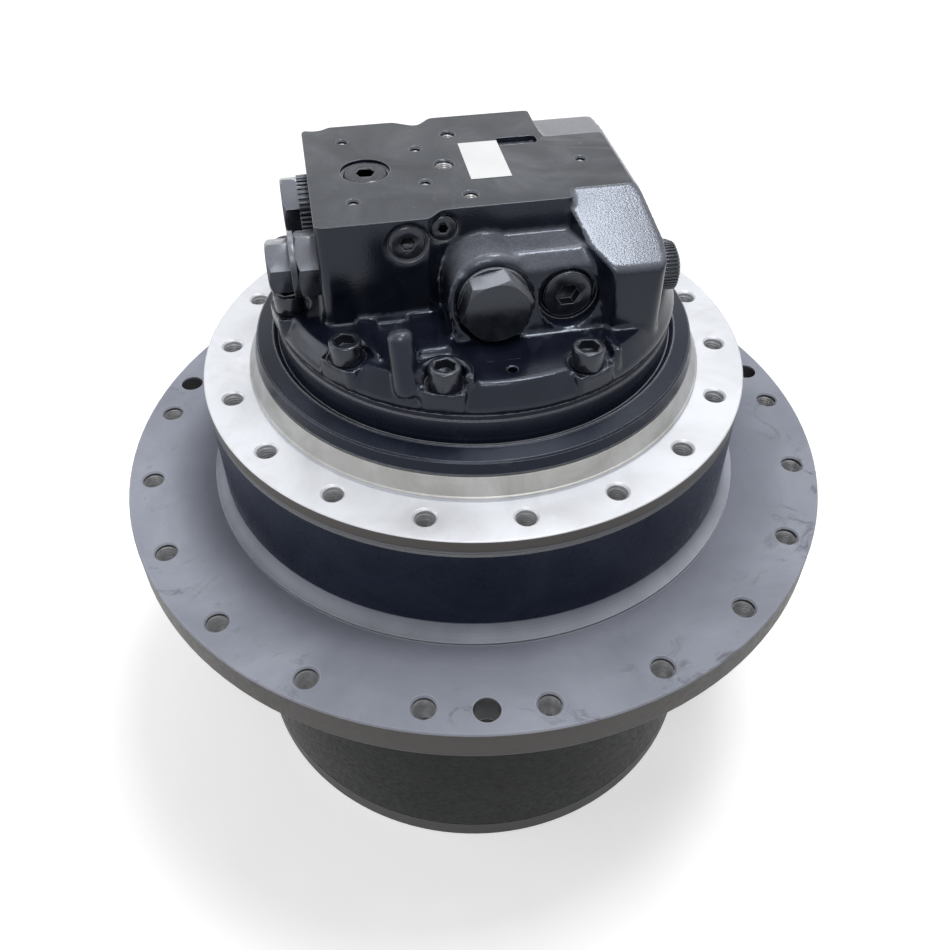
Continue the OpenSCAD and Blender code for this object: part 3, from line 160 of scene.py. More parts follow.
def mix(tree, factor, a, b):
    node = add(tree, "ShaderNodeMix", data_type="RGBA")
    if isinstance(factor, float):
        node.inputs["Factor"].default_value = factor
    else:
        tree.links.new(factor, node.inputs["Factor"])
    for socket, value in ((node.inputs["A"], a), (node.inputs["B"], b)):
        if isinstance(value, tuple):
            socket.default_value = (*value, 1)
        else:
            tree.links.new(value, socket)
    return node.outputs["Result"]


def maths(tree, operation, *values):
    node = add(tree, "ShaderNodeMath", operation=operation)
    for socket, value in zip(node.inputs, values):
        if isinstance(value, (int, float)):
            socket.default_value = value
        else:
            tree.links.new(value, socket)
    return node.outputs[0]


def times(tree, a, b):
    return maths(tree, "MULTIPLY", a, b)


def distance_from_axis(tree, place):
    squares = [maths(tree, "POWER", place[axis], 2.0) for axis in "XY"]
    return maths(tree, "SQRT", maths(tree, "ADD", *squares))


def spread(tree, value, low, high, out_low=0.0, out_high=1.0):
    node = add(tree, "ShaderNodeMapRange")
    for name, number in (("From Min", low), ("From Max", high), ("To Min", out_low), ("To Max", out_high)):
        node.inputs[name].default_value = number
    tree.links.new(value, node.inputs["Value"])
    return node.outputs["Result"]


def stencil(tree, value, low, high):
    """Black up to low, white from high on."""
    return ramp(tree, value, [(low, (0, 0, 0)), (high, (1, 1, 1))])


def turning_marks(tree, along, scale):
    """The fine lines that a lathe leaves."""
    lines = add(tree, "ShaderNodeTexNoise", noise_dimensions="1D")
    lines.inputs["Scale"].default_value = scale
    lines.inputs["Detail"].default_value = 3.0
    tree.links.new(along, lines.inputs["W"])
    return lines.outputs["Fac"]


def bump(tree, height, strength, distance, below=None):
    node = add(tree, "ShaderNodeBump")
    node.inputs["Strength"].default_value = strength
    node.inputs["Distance"].default_value = distance
    tree.links.new(height, node.inputs["Height"])
    if below is not None:
        tree.links.new(below, node.inputs["Normal"])
    return node.outputs["Normal"]


def soft_edges(tree, radius):
    """A rounded normal along edges, as on a casting."""
    node = add(tree, "ShaderNodeBevel", samples=6)
    node.inputs["Radius"].default_value = radius
    return node.outputs["Normal"]


def worn_and_highlit_edges(tree, radius, low, high):
    """1 along sharp edges, 0 on the faces between them: the mask for edges lightened as painted highlight and
    worn paint.
    """
    rounded = soft_edges(tree, radius)
    flat = add(tree, "ShaderNodeNewGeometry").outputs["Normal"]
    product = add(tree, "ShaderNodeVectorMath", operation="DOT_PRODUCT")
    tree.links.new(rounded, product.inputs[0])
    tree.links.new(flat, product.inputs[1])
    return spread(tree, product.outputs["Value"], high, low)


def facing_up(tree, low, high):
    """1 on faces that look up, 0 on walls: where light from above is painted on."""
    normal = add(tree, "ShaderNodeNewGeometry").outputs["Normal"]
    return spread(tree, separate(tree, normal)["Z"], low, high)


# Mirrored light turns slightly blue on paint and oiled steel
PAINT_TINT = (0.78, 0.86, 1.0, 1)
STEEL_TINT = (0.80, 0.87, 1.0, 1)


def cast_paint():
    """Glossy black paint over a sand-cast surface, thin and smeared on the machined top."""
    material, tree, shader = new_material("black paint on cast iron")
    where = object_coordinates(tree)
    grain = noise(tree, where, 900.0, 2.0, 0.5)
    lumps = noise(tree, where, 55.0, 2.0, 0.4)
    z = separate(tree, where)["Z"]
    black = mix(tree, stencil(tree, lumps, 0.3, 0.7), (0.0035, 0.0048, 0.0105), (0.008, 0.0100, 0.0190))
    # painted light: the upward faces of the upper block are lighter grey, standing in for the light they
    # catch from above
    painted_top_light = times(tree, facing_up(tree, 0.30, 0.85), spread(tree, z, 0.411, 0.426))
    painted_top_light = times(tree, painted_top_light, spread(tree, lumps, 0.25, 0.75, 0.75, 1.0))
    painted_top_light = times(tree, painted_top_light, spread(tree, grain, 0.35, 0.65, 0.72, 1.0))
    black = mix(tree, painted_top_light, black, (0.150, 0.158, 0.185))
    # the machined top
    top = spread(tree, z, TOP_Z - 0.0003, TOP_Z - 0.0001)
    smear = ramp(tree, noise(tree, where, 19.0, 7.0, 0.62, 0.7), [
        (0.34, (0.018, 0.020, 0.024)),
        (0.50, (0.036, 0.039, 0.045)),
        (0.68, (0.075, 0.079, 0.087)),
    ])
    scuffs = stencil(tree, noise(tree, where, 150.0, 9.0, 0.75, 1.4), 0.60, 0.68)
    smear = mix(tree, times(tree, scuffs, 0.35), smear, (0.17, 0.172, 0.175))
    colour = mix(tree, top, black, smear)
    # painted highlight and worn paint: the edges are lighter, standing in for the lamps' glint along them
    wear_and_edge_highlight = times(tree, worn_and_highlit_edges(tree, 0.0009, 0.86, 0.975), 0.7)
    colour = mix(tree, wear_and_edge_highlight, colour, (0.40, 0.41, 0.44))
    tree.links.new(colour, shader.inputs["Base Color"])
    rough = maths(tree, "ADD", spread(tree, lumps, 0.3, 0.7, 0.16, 0.24), times(tree, top, 0.12))
    tree.links.new(rough, shader.inputs["Roughness"])
    shader.inputs["Specular IOR Level"].default_value = 0.42
    shader.inputs["Specular Tint"].default_value = PAINT_TINT
    cast = maths(tree, "ADD", times(tree, grain, 0.34), times(tree, lumps, 0.5))
    cast = times(tree, cast, maths(tree, "SUBTRACT", 1.0, top))
    tree.links.new(bump(tree, cast, 0.30, 0.0007, soft_edges(tree, 0.0012)), shader.inputs["Normal"])
    return material


def hub_paint():
    """Satin paint on turned steel: grey flange, partly lighter as painted light on its top, blue-black drum.
    """
    material, tree, shader = new_material("satin paint on turned steel")
    where = object_coordinates(tree)
    place = separate(tree, where)
    z = place["Z"]
    radius = distance_from_axis(tree, place)
    clouds = noise(tree, where, 8.0, 6.0, 0.6, 0.5)
    specks = noise(tree, where, 260.0, 2.0, 0.5)
    # the flange's grey, lighter than the drum partly as painted reflection of the light its top catches
    grey = ramp(tree, clouds, [
        (0.30, (0.215, 0.229, 0.272)),
        (0.52, (0.28, 0.297, 0.350)),
        (0.75, (0.37, 0.391, 0.452)),
    ])
    # oil and water marks, strongest towards the rim
    marks = stencil(tree, noise(tree, where, 31.0, 9.0, 0.72, 1.3), 0.56, 0.66)
    outer = spread(tree, radius, 0.200, 0.236, 0.10, 0.65)
    grey = mix(tree, times(tree, marks, outer), grey, (0.085, 0.088, 0.098))
    scuffs = stencil(tree, noise(tree, where, 210.0, 10.0, 0.8, 2.2), 0.66, 0.70)
    grey = mix(tree, times(tree, scuffs, 0.5), grey, (0.50, 0.51, 0.53))
    # painted shade: the flange darkens towards the drum, standing in for the drum's shade and dark reflection
    painted_drum_shade = spread(tree, radius, 0.183, 0.222, 0.50, 0.0)
    grey = mix(tree, painted_drum_shade, grey, (0.085, 0.090, 0.118))
    # the flange's rim, and below its top the walls of its holes darkened as painted shade
    rim = times(
        tree,
        spread(tree, z, FLANGE_Z - 0.0008, FLANGE_Z - 0.0012),
        spread(tree, radius, FLANGE_R - 0.0015, FLANGE_R - 0.0010),
    )
    grey = mix(tree, rim, grey, (0.098, 0.092, 0.088))
    painted_hole_shade = times(
        tree,
        spread(tree, z, FLANGE_Z - 0.0012, FLANGE_Z - 0.0018),
        spread(tree, radius, FLANGE_R - 0.0025, FLANGE_R - 0.0030),
    )
    grey = mix(tree, painted_hole_shade, grey, (0.075, 0.076, 0.078))
    # the register and the fillet above it, then the drum
    band = spread(tree, z, FLANGE_Z + 0.0014, FLANGE_Z + 0.0018)
    pale = ramp(tree, noise(tree, where, 12.0, 6.0, 0.6, 0.4), [
        (0.30, (0.25, 0.262, 0.30)),
        (0.65, (0.36, 0.378, 0.43)),
    ])
    grey = mix(tree, band, grey, pale)
    wall = spread(tree, z, FLANGE_Z + 0.0105, FLANGE_Z + 0.0118)
    drum_clouds = stencil(tree, noise(tree, where, 16.0, 7.0, 0.65, 0.9), 0.35, 0.70)
    drum = mix(tree, drum_clouds, (0.008, 0.012, 0.027), (0.022, 0.028, 0.050))
    colour = mix(tree, wall, grey, drum)
    lower = spread(tree, z, FLANGE_Z - 0.0226, FLANGE_Z - 0.0236)
    lower_clouds = stencil(tree, noise(tree, where, 20.0, 7.0, 0.65, 0.6), 0.35, 0.70)
    underside = mix(tree, lower_clouds, (0.004, 0.0042, 0.0040), (0.012, 0.0123, 0.0117))
    colour = mix(tree, lower, colour, underside)
    # the lip's band is lighter: painted highlight of its chamfers, partly worn paint
    lip_wear_and_highlight = spread(tree, z, LIP_Z - 0.0034, LIP_Z - 0.0032)
    colour = mix(tree, lip_wear_and_highlight, colour, (0.16, 0.165, 0.18))
    # painted highlight and worn paint along the edges
    edges = worn_and_highlit_edges(tree, 0.0011, 0.88, 0.98)
    colour = mix(tree, times(tree, edges, 0.65), colour, (0.52, 0.53, 0.56))
    tree.links.new(colour, shader.inputs["Base Color"])
    rough = maths(tree, "SUBTRACT", spread(tree, specks, 0.3, 0.7, 0.36, 0.50), times(tree, wall, 0.12))
    tree.links.new(rough, shader.inputs["Roughness"])
    shader.inputs["Specular IOR Level"].default_value = 0.13
    shader.inputs["Specular Tint"].default_value = STEEL_TINT
    tree.links.new(bump(tree, specks, 0.03, 0.0003, soft_edges(tree, 0.0008)), shader.inputs["Normal"])
    return material


def bare_steel(name, low, high, rough):
    """Bare machined steel with fine turning marks round the axis and faint stains."""
    material, tree, shader = new_material(name)
    where = object_coordinates(tree)
    place = separate(tree, where)
    along = maths(tree, "ADD", distance_from_axis(tree, place), place["Z"])
    marks = turning_marks(tree, along, 2600.0)
    stains = noise(tree, where, 22.0, 7.0, 0.65, 0.7)
    tree.links.new(ramp(tree, stains, [(0.30, low), (0.60, high)]), shader.inputs["Base Color"])
    shader.inputs["Metallic"].default_value = 0.9
    tree.links.new(spread(tree, stains, 0.3, 0.7, *rough), shader.inputs["Roughness"])
    tree.links.new(bump(tree, marks, 0.10, 0.0002, soft_edges(tree, 0.0005)), shader.inputs["Normal"])
    return material


def housing_finish():
    """Motor housing: bare machined frame flange, black painted neck above it."""
    material, tree, shader = new_material("housing, bare flange and painted neck")
    where = object_coordinates(tree)
    place = separate(tree, where)
    z = place["Z"]
    radius = distance_from_axis(tree, place)
    marks = turning_marks(tree, radius, 2200.0)
    stains = noise(tree, where, 24.0, 7.0, 0.65, 0.7)
    steel = ramp(tree, stains, [(0.30, (0.56, 0.57, 0.595)), (0.60, (0.66, 0.675, 0.71))])
    rust = stencil(tree, noise(tree, where, 30.0, 8.0, 0.7, 1.2), 0.58, 0.72)
    steel = mix(tree, times(tree, rust, 0.18), steel, (0.30, 0.25, 0.20))
    # the wall of the raised ring, and the outer wall of the flange darkened as painted shade
    ring_wall = times(
        tree,
        spread(tree, z, FRAME_Z + 0.0016, FRAME_Z + 0.0024),
        spread(tree, radius, RING_R + 0.0025, RING_R + 0.0015),
    )
    ring_steel = ramp(tree, stains, [(0.35, (0.36, 0.355, 0.34)), (0.65, (0.52, 0.52, 0.51))])
    steel = mix(tree, ring_wall, steel, ring_steel)
    outer_wall_painted_shade = times(
        tree,
        spread(tree, radius, FRAME_R - 0.0003, FRAME_R - 0.0001),
        spread(tree, z, FRAME_Z - 0.0004, FRAME_Z - 0.0007),
    )
    steel = mix(tree, outer_wall_painted_shade, steel, (0.115, 0.106, 0.098))
    # the painted neck with worn spots, its edges lighter as painted highlight and worn paint
    painted = spread(tree, z, COLLAR_WALL_Z - 0.0002, COLLAR_WALL_Z + 0.0002)
    wear_and_edge_highlight = stencil(tree, noise(tree, where, 70.0, 8.0, 0.7, 0.5), 0.62, 0.70)
    paint = mix(tree, times(tree, wear_and_edge_highlight, 0.20), (0.009, 0.0120, 0.0230), (0.08, 0.083, 0.092))
    edges = worn_and_highlit_edges(tree, 0.0012, 0.88, 0.985)
    paint = mix(tree, times(tree, edges, 0.8), paint, (0.45, 0.46, 0.50))
    tree.links.new(mix(tree, painted, steel, paint), shader.inputs["Base Color"])
    metal = times(tree, spread(tree, painted, 0.0, 1.0, 0.40, 0.0), maths(tree, "SUBTRACT", 1.0, outer_wall_painted_shade))
    tree.links.new(metal, shader.inputs["Metallic"])
    shader.inputs["Specular IOR Level"].default_value = 0.24
    shader.inputs["Specular Tint"].default_value = STEEL_TINT
    rough = maths(tree, "SUBTRACT", spread(tree, stains, 0.3, 0.7, 0.40, 0.52), times(tree, painted, 0.18))
    tree.links.new(rough, shader.inputs["Roughness"])
    tree.links.new(bump(tree, marks, 0.12, 0.0002, soft_edges(tree, 0.0007)), shader.inputs["Normal"])
    return material


def oxide_steel(name="black oxide steel", painted_top_light=0.0):
    """Oiled black screws and plugs; on the flats, the upward faces are lighter grey as painted light from
    above.
    """
    material, tree, shader = new_material(name)
    where = object_coordinates(tree)
    clouds = noise(tree, where, 140.0, 5.0, 0.6)
    oxide = ramp(tree, clouds, [(0.3, (0.007, 0.008, 0.012)), (0.7, (0.017, 0.0185, 0.025))])
    # painted light: the upward faces of the flats are lighter grey
    if painted_top_light:
        painted_light_on_flats = times(tree, facing_up(tree, 0.25, 0.80), painted_top_light)
        oxide = mix(tree, painted_light_on_flats, oxide, (0.20, 0.208, 0.235))
    # painted highlight and worn paint along the edges
    wear_and_edge_highlight = times(tree, worn_and_highlit_edges(tree, 0.0005, 0.88, 0.985), 0.7)
    oxide = mix(tree, wear_and_edge_highlight, oxide, (0.42, 0.43, 0.46))
    tree.links.new(oxide, shader.inputs["Base Color"])
    tree.links.new(spread(tree, clouds, 0.3, 0.7, 0.17, 0.30), shader.inputs["Roughness"])
    shader.inputs["Specular IOR Level"].default_value = 0.6
    shader.inputs["Specular Tint"].default_value = STEEL_TINT
    tree.links.new(bump(tree, clouds, 0.1, 0.0003, soft_edges(tree, 0.0006)), shader.inputs["Normal"])
    return material


def plain(name, low, high, metallic, rough, scale=120.0, bumpiness=0.1):
    """One finish with soft variation, for the inner pieces."""
    material, tree, shader = new_material(name)
    where = object_coordinates(tree)
    clouds = noise(tree, where, scale, 5.0, 0.6)
    tree.links.new(ramp(tree, clouds, [(0.3, low), (0.7, high)]), shader.inputs["Base Color"])
    tree.links.new(spread(tree, clouds, 0.3, 0.7, *rough), shader.inputs["Roughness"])
    shader.inputs["Metallic"].default_value = metallic
    tree.links.new(bump(tree, clouds, bumpiness, 0.0003), shader.inputs["Normal"])
    return material


BLACK_PAINT = cast_paint()
HUB_PAINT = hub_paint()
HOUSING = housing_finish()
OXIDE = oxide_steel()
# the flats' upward faces are lighter grey as painted light from above
FLATS = oxide_steel("black oxide steel, flats with painted top light", painted_top_light=0.85)
COVER_PAINT = plain(
    "dark grey cover paint", (0.030, 0.031, 0.031), (0.055, 0.057, 0.055), 0.2, (0.45, 0.6), 90.0
)
GROUND = bare_steel("ground steel", (0.42, 0.43, 0.44), (0.58, 0.59, 0.60), (0.22, 0.34))
POLISHED = bare_steel("polished steel", (0.60, 0.61, 0.62), (0.72, 0.73, 0.74), (0.12, 0.22))
GEAR = plain("case-hardened gear steel", (0.30, 0.305, 0.31), (0.44, 0.445, 0.45), 0.9, (0.28, 0.42), 200.0)
IRON = plain("oiled cast iron", (0.10, 0.102, 0.105), (0.17, 0.172, 0.175), 0.6, (0.4, 0.55), 160.0, 0.25)
BRONZE = plain("bearing bronze", (0.42, 0.26, 0.10), (0.56, 0.36, 0.16), 0.9, (0.26, 0.4), 180.0)
SPRING = plain("oil-tempered spring wire", (0.08, 0.08, 0.082), (0.16, 0.16, 0.163), 0.8, (0.25, 0.4), 260.0)
LINING = plain(
    "paper friction lining", (0.10, 0.065, 0.04), (0.17, 0.115, 0.07), 0.0, (0.75, 0.9), 420.0, 0.4
)
RUBBER = plain(
    "black nitrile rubber", (0.012, 0.012, 0.012), (0.022, 0.022, 0.022), 0.0, (0.5, 0.65), 300.0, 0.15
)

finish_of = {
    "hub": HUB_PAINT, "end_cover": COVER_PAINT, "motor_housing": HOUSING, "valve_block": BLACK_PAINT,
    "end_cover_screws": OXIDE, "drain_plugs": OXIDE, "cover_screws": OXIDE, "top_port_plug": OXIDE,
    "front_hex_plug": FLATS, "front_socket_plug": OXIDE, "gauge_plugs": OXIDE, "ribbed_plug": FLATS,
    "relief_valve": FLATS, "spool_cap": OXIDE, "carrier_2_screws": OXIDE,
    "ring_gear": GEAR, "planet_2_a": GEAR, "planet_2_b": GEAR, "planet_2_c": GEAR, "planet_2_d": GEAR,
    "planet_1_a": GEAR, "planet_1_b": GEAR, "planet_1_c": GEAR, "sun_1": GEAR, "sun_2": GEAR,
    "motor_shaft": GROUND, "retainer_plate": GROUND, "swash_plate": GROUND, "ball_guide": GROUND,
    "brake_piston": GROUND, "separator_plates": GROUND, "planet_1_pins": GROUND, "planet_2_pins": GROUND,
    "thrust_plate": POLISHED, "main_bearing_outer_rings": POLISHED, "main_bearing_inner_rings": POLISHED,
    "main_bearing_balls": POLISHED, "seal_ring_turning": POLISHED, "seal_ring_fixed": POLISHED,
    "planet_1_rollers": POLISHED, "planet_2_rollers": POLISHED, "shaft_bearings": POLISHED,
    "pistons": POLISHED, "counterbalance_spool": POLISHED, "speed_piston": POLISHED,
    "carrier_1": IRON, "carrier_2": IRON, "bearing_nut": IRON, "cylinder_block": IRON,
    "valve_plate": BRONZE, "slippers": BRONZE,
    "block_spring": SPRING, "brake_springs": SPRING, "spool_springs": SPRING,
    "friction_discs": LINING,
    "seal_toric_turning": RUBBER, "seal_toric_fixed": RUBBER, "shaft_seal": RUBBER, "cover_seal": RUBBER,
}
for name, node in nodes.items():
    node.data.materials.clear()
    node.data.materials.append(finish_of[name])


# The valve block's casting: rounded by remeshing, then machined again where the real one is machined

def edit(piece):
    """Opens a piece in edit mode with all of it selected."""
    take(piece)
    bpy.ops.object.mode_set(mode="EDIT")
    bpy.ops.mesh.select_all(action="SELECT")


def merge_points():
    bpy.ops.mesh.remove_doubles(threshold=SAME_POINT)


def delete_points(piece, unwanted):
    """Deletes the points of a piece that the test names."""
    edit(piece)
    bpy.ops.mesh.select_mode(type="VERT")
    bpy.ops.mesh.select_all(action="DESELECT")
    bpy.ops.object.mode_set(mode="OBJECT")
    for vertex in piece.data.vertices:
        vertex.select = unwanted(vertex.co)
    bpy.ops.object.mode_set(mode="EDIT")
    bpy.ops.mesh.delete(type="VERT")


def pick_faces(piece, wanted):
    """Selects the faces that the test accepts, in edit mode."""
    bpy.ops.mesh.select_all(action="DESELECT")
    bpy.ops.object.mode_set(mode="OBJECT")
    for face in piece.data.polygons:
        face.select = wanted(face)
    bpy.ops.object.mode_set(mode="EDIT")
    bpy.ops.mesh.select_mode(type="FACE")


def own_copy(node, name):
    """A copy that can be edited, also when the node is already replaced and hidden."""
    piece = node.copy()
    piece.data = node.data.copy()
    piece.parent = None
    for key in list(piece.keys()):
        del piece[key]
    bpy.context.scene.collection.objects.link(piece)
    piece.name = name
    piece.hide_viewport = piece.hide_render = False
    return piece


def apply_modifier(piece, modifier):
    take(piece)
    bpy.ops.object.modifier_apply(modifier=modifier.name)


def shade(piece, degrees):
    take(piece)
    bpy.ops.object.shade_smooth_by_angle(angle=math.radians(degrees))


def drill(name, start, direction, radius, depth, corners=48):
    """A round cutter from a point on the block, along a direction given on the turned block."""
    deselect()
    axis = on_block(*direction) if direction[2] == 0 else Vector(direction)
    middle = on_block(*start) + axis.normalized() * depth / 2
    bpy.ops.mesh.primitive_cylinder_add(
        vertices=corners,
        radius=radius,
        depth=depth,
        location=middle,
        rotation=axis.to_track_quat("Z", "Y").to_euler(),
    )
    cutter = bpy.context.object
    cutter.name = name
    return cutter


FRONT, BACK, LEFT, RIGHT, UP = (0, -1, 0), (0, 1, 0), (-1, 0, 0), (1, 0, 0), (0, 0, 1)


def cone_mouth(x, y, z, radius, width):
    """A countersink that is widest a little above the face it is cut in."""
    deselect()
    above = 0.0004
    bpy.ops.mesh.primitive_cone_add(
        vertices=32,
        radius1=radius - 0.0001,
        radius2=radius + width + above,
        depth=width + above,
        location=on_block(*mm(x, y, z)) + Vector((0, 0, (above - width) / 2)),
    )
    return bpy.context.object


def slot_cutter():
    """The cast slot in the top, with rounded ends."""
    deselect()
    bpy.ops.mesh.primitive_cube_add(size=1.0)
    cutter = bpy.context.object
    cutter.scale = (0.025, 0.010, 0.010)
    cutter.rotation_euler = (0, 0, BLOCK_TURN)
    cutter.location = on_block(*mm(32, 32, 454))
    apply_place()
    rounding = cutter.modifiers.new("rounding", "BEVEL")
    rounding.width = 0.003
    rounding.segments = 4
    apply_modifier(cutter, rounding)
    return cutter


# The tapped holes in the top: place on the block and radius, in millimetres
SMALL_HOLES = ((-70.6, 49, 2.6), (-29, 32, 2.6), (-71, -25, 2.6), (-29, -9.7, 2.6), (64, 2.5, 2.6))
MIDDLE_HOLES = ((-7, 48, 3.6), (-6.5, -28, 3.6))
LARGE_HOLES = ((-15.3, 9.8, 5.0),)
TOP_HOLES = SMALL_HOLES + MIDDLE_HOLES + LARGE_HOLES


def bores():
    """The cutters for the bores of plugs, ports, screws and tapped holes."""
    cutters = [
        drill("spool bore", mm(-22, -46, 407), RIGHT, 0.01025, 0.140),
        drill("hex plug bore", mm(-1.5, -57, 411.5), FRONT, 0.0132, 0.030),
        drill("socket plug bore", mm(40.5, -57, 411), FRONT, 0.0142, 0.030),
        drill("gauge bore a", mm(-45, -36, 439.5), FRONT, 0.0102, 0.030),
        drill("gauge bore b", mm(-24.5, -28, 442.5), FRONT, 0.0076, 0.040),
        drill("top plug bore", mm(-61, 9.8, 436), UP, 0.0127, 0.030),
        drill("ribbed plug bore", mm(-74, 34, 423), LEFT, 0.0132, 0.030),
        drill("relief bore", mm(-72, -28, 421), LEFT, 0.0122, 0.030),
        drill("port a", mm(-56, 50, 423), BACK, 0.0154, 0.030),
        drill("port b", mm(6, 50, 423), BACK, 0.0154, 0.030),
        drill("drain", mm(74, 62, 415), BACK, 0.0097, 0.030),
        drill("shaft bearing bore", mm(0, 0, 360), UP, 0.02725, 0.037, 96),
        drill("flange hole", mm(1.8, -107, 384), UP, 0.0028, 0.012, 24),
    ]
    for x, y in screw_places():
        cutters.append(drill("screw hole", (x, y, 0.370), UP, 0.0066, 0.030))
    for x, y, radius in TOP_HOLES:
        cutters.append(drill("tapped hole", mm(x, y, 441), UP, radius / 1000 + 0.0001, 0.020, 32))
    return cutters


def seats():
    """The cutters for the machined seats round the bores, the slot and the countersinks."""
    cutters = [
        drill("spool cap seat", mm(94.5, -46, 407), RIGHT, 0.0152, 0.020),
        drill("hex plug seat", mm(-1.5, -68, 411.5), FRONT, 0.0218, 0.030, 64),
        drill("socket plug seat", mm(40.5, -69, 411), FRONT, 0.0172, 0.020, 64),
        drill("gauge seat a", mm(-45, -48.5, 439.5), FRONT, 0.0114, 0.010),
        drill("gauge seat b", mm(-24.5, -41.4, 442.5), FRONT, 0.0085, 0.020),
        drill("top plug seat", mm(-61, 9.8, 451.5), UP, 0.0144, 0.010, 64),
        slot_cutter(),
    ]
    for x, y in screw_places():
        cutters.append(drill("screw seat", (x, y, COVER_SEAT_Z), UP, 0.0111, 0.030, 64))
    for x, y, radius in TOP_HOLES:
        cutters.append(cone_mouth(x, y, 454, radius / 1000, 0.0013))
    return cutters


def screw_places():
    turned = [math.radians(angle - 90) for angle in COVER_SCREW_ANGLES]
    return [(COVER_PITCH_R * math.cos(a), COVER_PITCH_R * math.sin(a)) for a in turned]


def cut_away(piece, cutters):
    """Takes a set of cutters that don't touch each other out of a piece."""
    take_all(cutters)
    bpy.ops.object.join()
    apply_place()
    cutter = bpy.context.object
    boolean = piece.modifiers.new("machining", "BOOLEAN")
    boolean.operation = "DIFFERENCE"
    boolean.solver = "MANIFOLD"
    boolean.object = cutter
    apply_modifier(piece, boolean)
    bpy.data.objects.remove(cutter)


def cast_valve_block():
    """The block of the source with a cast surface, its top face, bores and seats machined as before."""
    piece = own_copy(nodes["valve_block"], "cast valve block")
    edit(piece)
    merge_points()
    # the top is raised first, so that rounding doesn't reach the face that is cut there afterwards
    pick_faces(piece, lambda face: face.normal.z > 0.99 and face.center.z > TOP_Z - 0.00005)
    bpy.ops.mesh.extrude_region_move(TRANSFORM_OT_translate={"value": (0, 0, 0.004)})
    bpy.ops.object.mode_set(mode="OBJECT")
    remesh = piece.modifiers.new("remesh", "REMESH")
    remesh.mode = "VOXEL"
    remesh.voxel_size = CAST_VOXEL
    apply_modifier(piece, remesh)
    smooth = piece.modifiers.new("smooth", "SMOOTH")
    smooth.factor = 0.6
    smooth.iterations = 4
    apply_modifier(piece, smooth)
    edit(piece)
    bpy.ops.mesh.bisect(plane_co=(0, 0, TOP_Z), plane_no=(0, 0, 1), clear_outer=True, use_fill=True)
    bpy.ops.object.mode_set(mode="OBJECT")
    cut_away(piece, bores())
    cut_away(piece, seats())
    shade(piece, 35)
    piece.data.materials.clear()
    piece.data.materials.append(BLACK_PAINT)
    settle(piece, "cast_valve_block", "housing")
    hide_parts("valve_block")


cast_valve_block()


# Screws and plugs: their edges broken, and two of them turned to where they were tightened

def broken_edges(name, width, turn=0.0, axis=None, middle=None):
    """A copy of a node with small rounded edges, turned about its own axis."""
    piece = own_copy(nodes[name], "edged " + name)
    edit(piece)
    merge_points()
    bpy.ops.mesh.normals_make_consistent(inside=False)
    bpy.ops.mesh.dissolve_limited(angle_limit=math.radians(1.0))
    take(piece)
    if turn:
        turned = Matrix.Rotation(turn, 4, axis)
        piece.matrix_world = Matrix.Translation(middle) @ turned @ Matrix.Translation(-middle)
        apply_place()
    edges = piece.modifiers.new("broken edges", "BEVEL")
    edges.width = width
    edges.segments = 2
    edges.limit_method = "ANGLE"
    edges.angle_limit = math.radians(28)
    apply_modifier(piece, edges)
    shade(piece, 40)
    settle(piece, "edged_" + name, "housing")
    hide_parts(name)


left = on_block(*LEFT)
broken_edges("ribbed_plug", 0.0004, math.radians(23), left, on_block(*mm(-94, 34, 423)))
broken_edges("relief_valve", 0.0004, math.radians(19), left, on_block(*mm(-94, -28, 421)))
broken_edges("front_hex_plug", 0.0005)
for name in ("cover_screws", "front_socket_plug", "gauge_plugs", "top_port_plug", "spool_cap"):
    broken_edges(name, 0.0004)


# Springs of the brake and the spool, the spool springs split into a left and a right coil

def spring(name, node, axis, keep_point=None):
    """A coil from a node, as a piece of its own.

    keep_point tells from a place along the axis whether a point of the node belongs to this coil.
    """
    piece = own_copy(nodes[node], name)
    if keep_point:
        delete_points(piece, lambda place: not keep_point(place.dot(axis)))
    edit(piece)
    merge_points()
    shade(piece, 60)
    settle(piece, name, "housing")
    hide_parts(node)
    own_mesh(piece)


spool_axis = on_block(*RIGHT)
spring("pressed_brake_springs", "brake_springs", Vector(UP))
spring(
    "left_spool_spring", "spool_springs", spool_axis,
    lambda place: place < 0,
)
spring(
    "right_spool_spring", "spool_springs", spool_axis,
    lambda place: place > 0,
)


# Threads in the tapped holes

def thread_liner(crest, root, pitch, depth):
    """A short screw thread on the wall of a hole, its mouth at the origin and its depth below."""
    deselect()
    middle = -depth + pitch / 2
    # the left edge of a small upright plane, split in two, is drawn along the screw
    bpy.ops.mesh.primitive_plane_add(size=pitch, location=(root, 0, middle), rotation=(math.pi / 2, 0, 0))
    piece = bpy.context.object
    apply_place()
    delete_points(piece, lambda place: place.x > root)
    bpy.ops.mesh.select_all(action="SELECT")
    bpy.ops.mesh.subdivide(number_cuts=1)
    bpy.ops.object.mode_set(mode="OBJECT")
    for vertex in piece.data.vertices:
        vertex.co.x = crest if abs(vertex.co.z - middle) < pitch / 8 else root
        vertex.co.y = 0
    screw = piece.modifiers.new("thread", "SCREW")
    screw.axis = "Z"
    screw.steps = 20
    screw.render_steps = 20
    screw.screw_offset = pitch
    screw.iterations = max(1, round(depth / pitch) - 1)
    screw.use_merge_vertices = True
    screw.merge_threshold = SAME_POINT
    apply_modifier(piece, screw)
    shade(piece, 50)
    return piece


def thread_pattern(name, liner, places, body, material):
    """Copies a liner to each hole and joins the copies."""
    copies = []
    for place in places:
        copy = liner.copy()
        copy.data = liner.data.copy()
        bpy.context.scene.collection.objects.link(copy)
        copy.location = place
        copies.append(copy)
    bpy.data.objects.remove(liner)
    take_all(copies)
    bpy.ops.object.join()
    piece = bpy.context.object
    piece.data.materials.clear()
    piece.data.materials.append(material)
    settle(piece, name, body)


def hole_circle(radius, first, count, z):
    angles = [math.radians(first - 90 + i * 360 / count) for i in range(count)]
    return [(radius * math.cos(a), radius * math.sin(a), z) for a in angles]


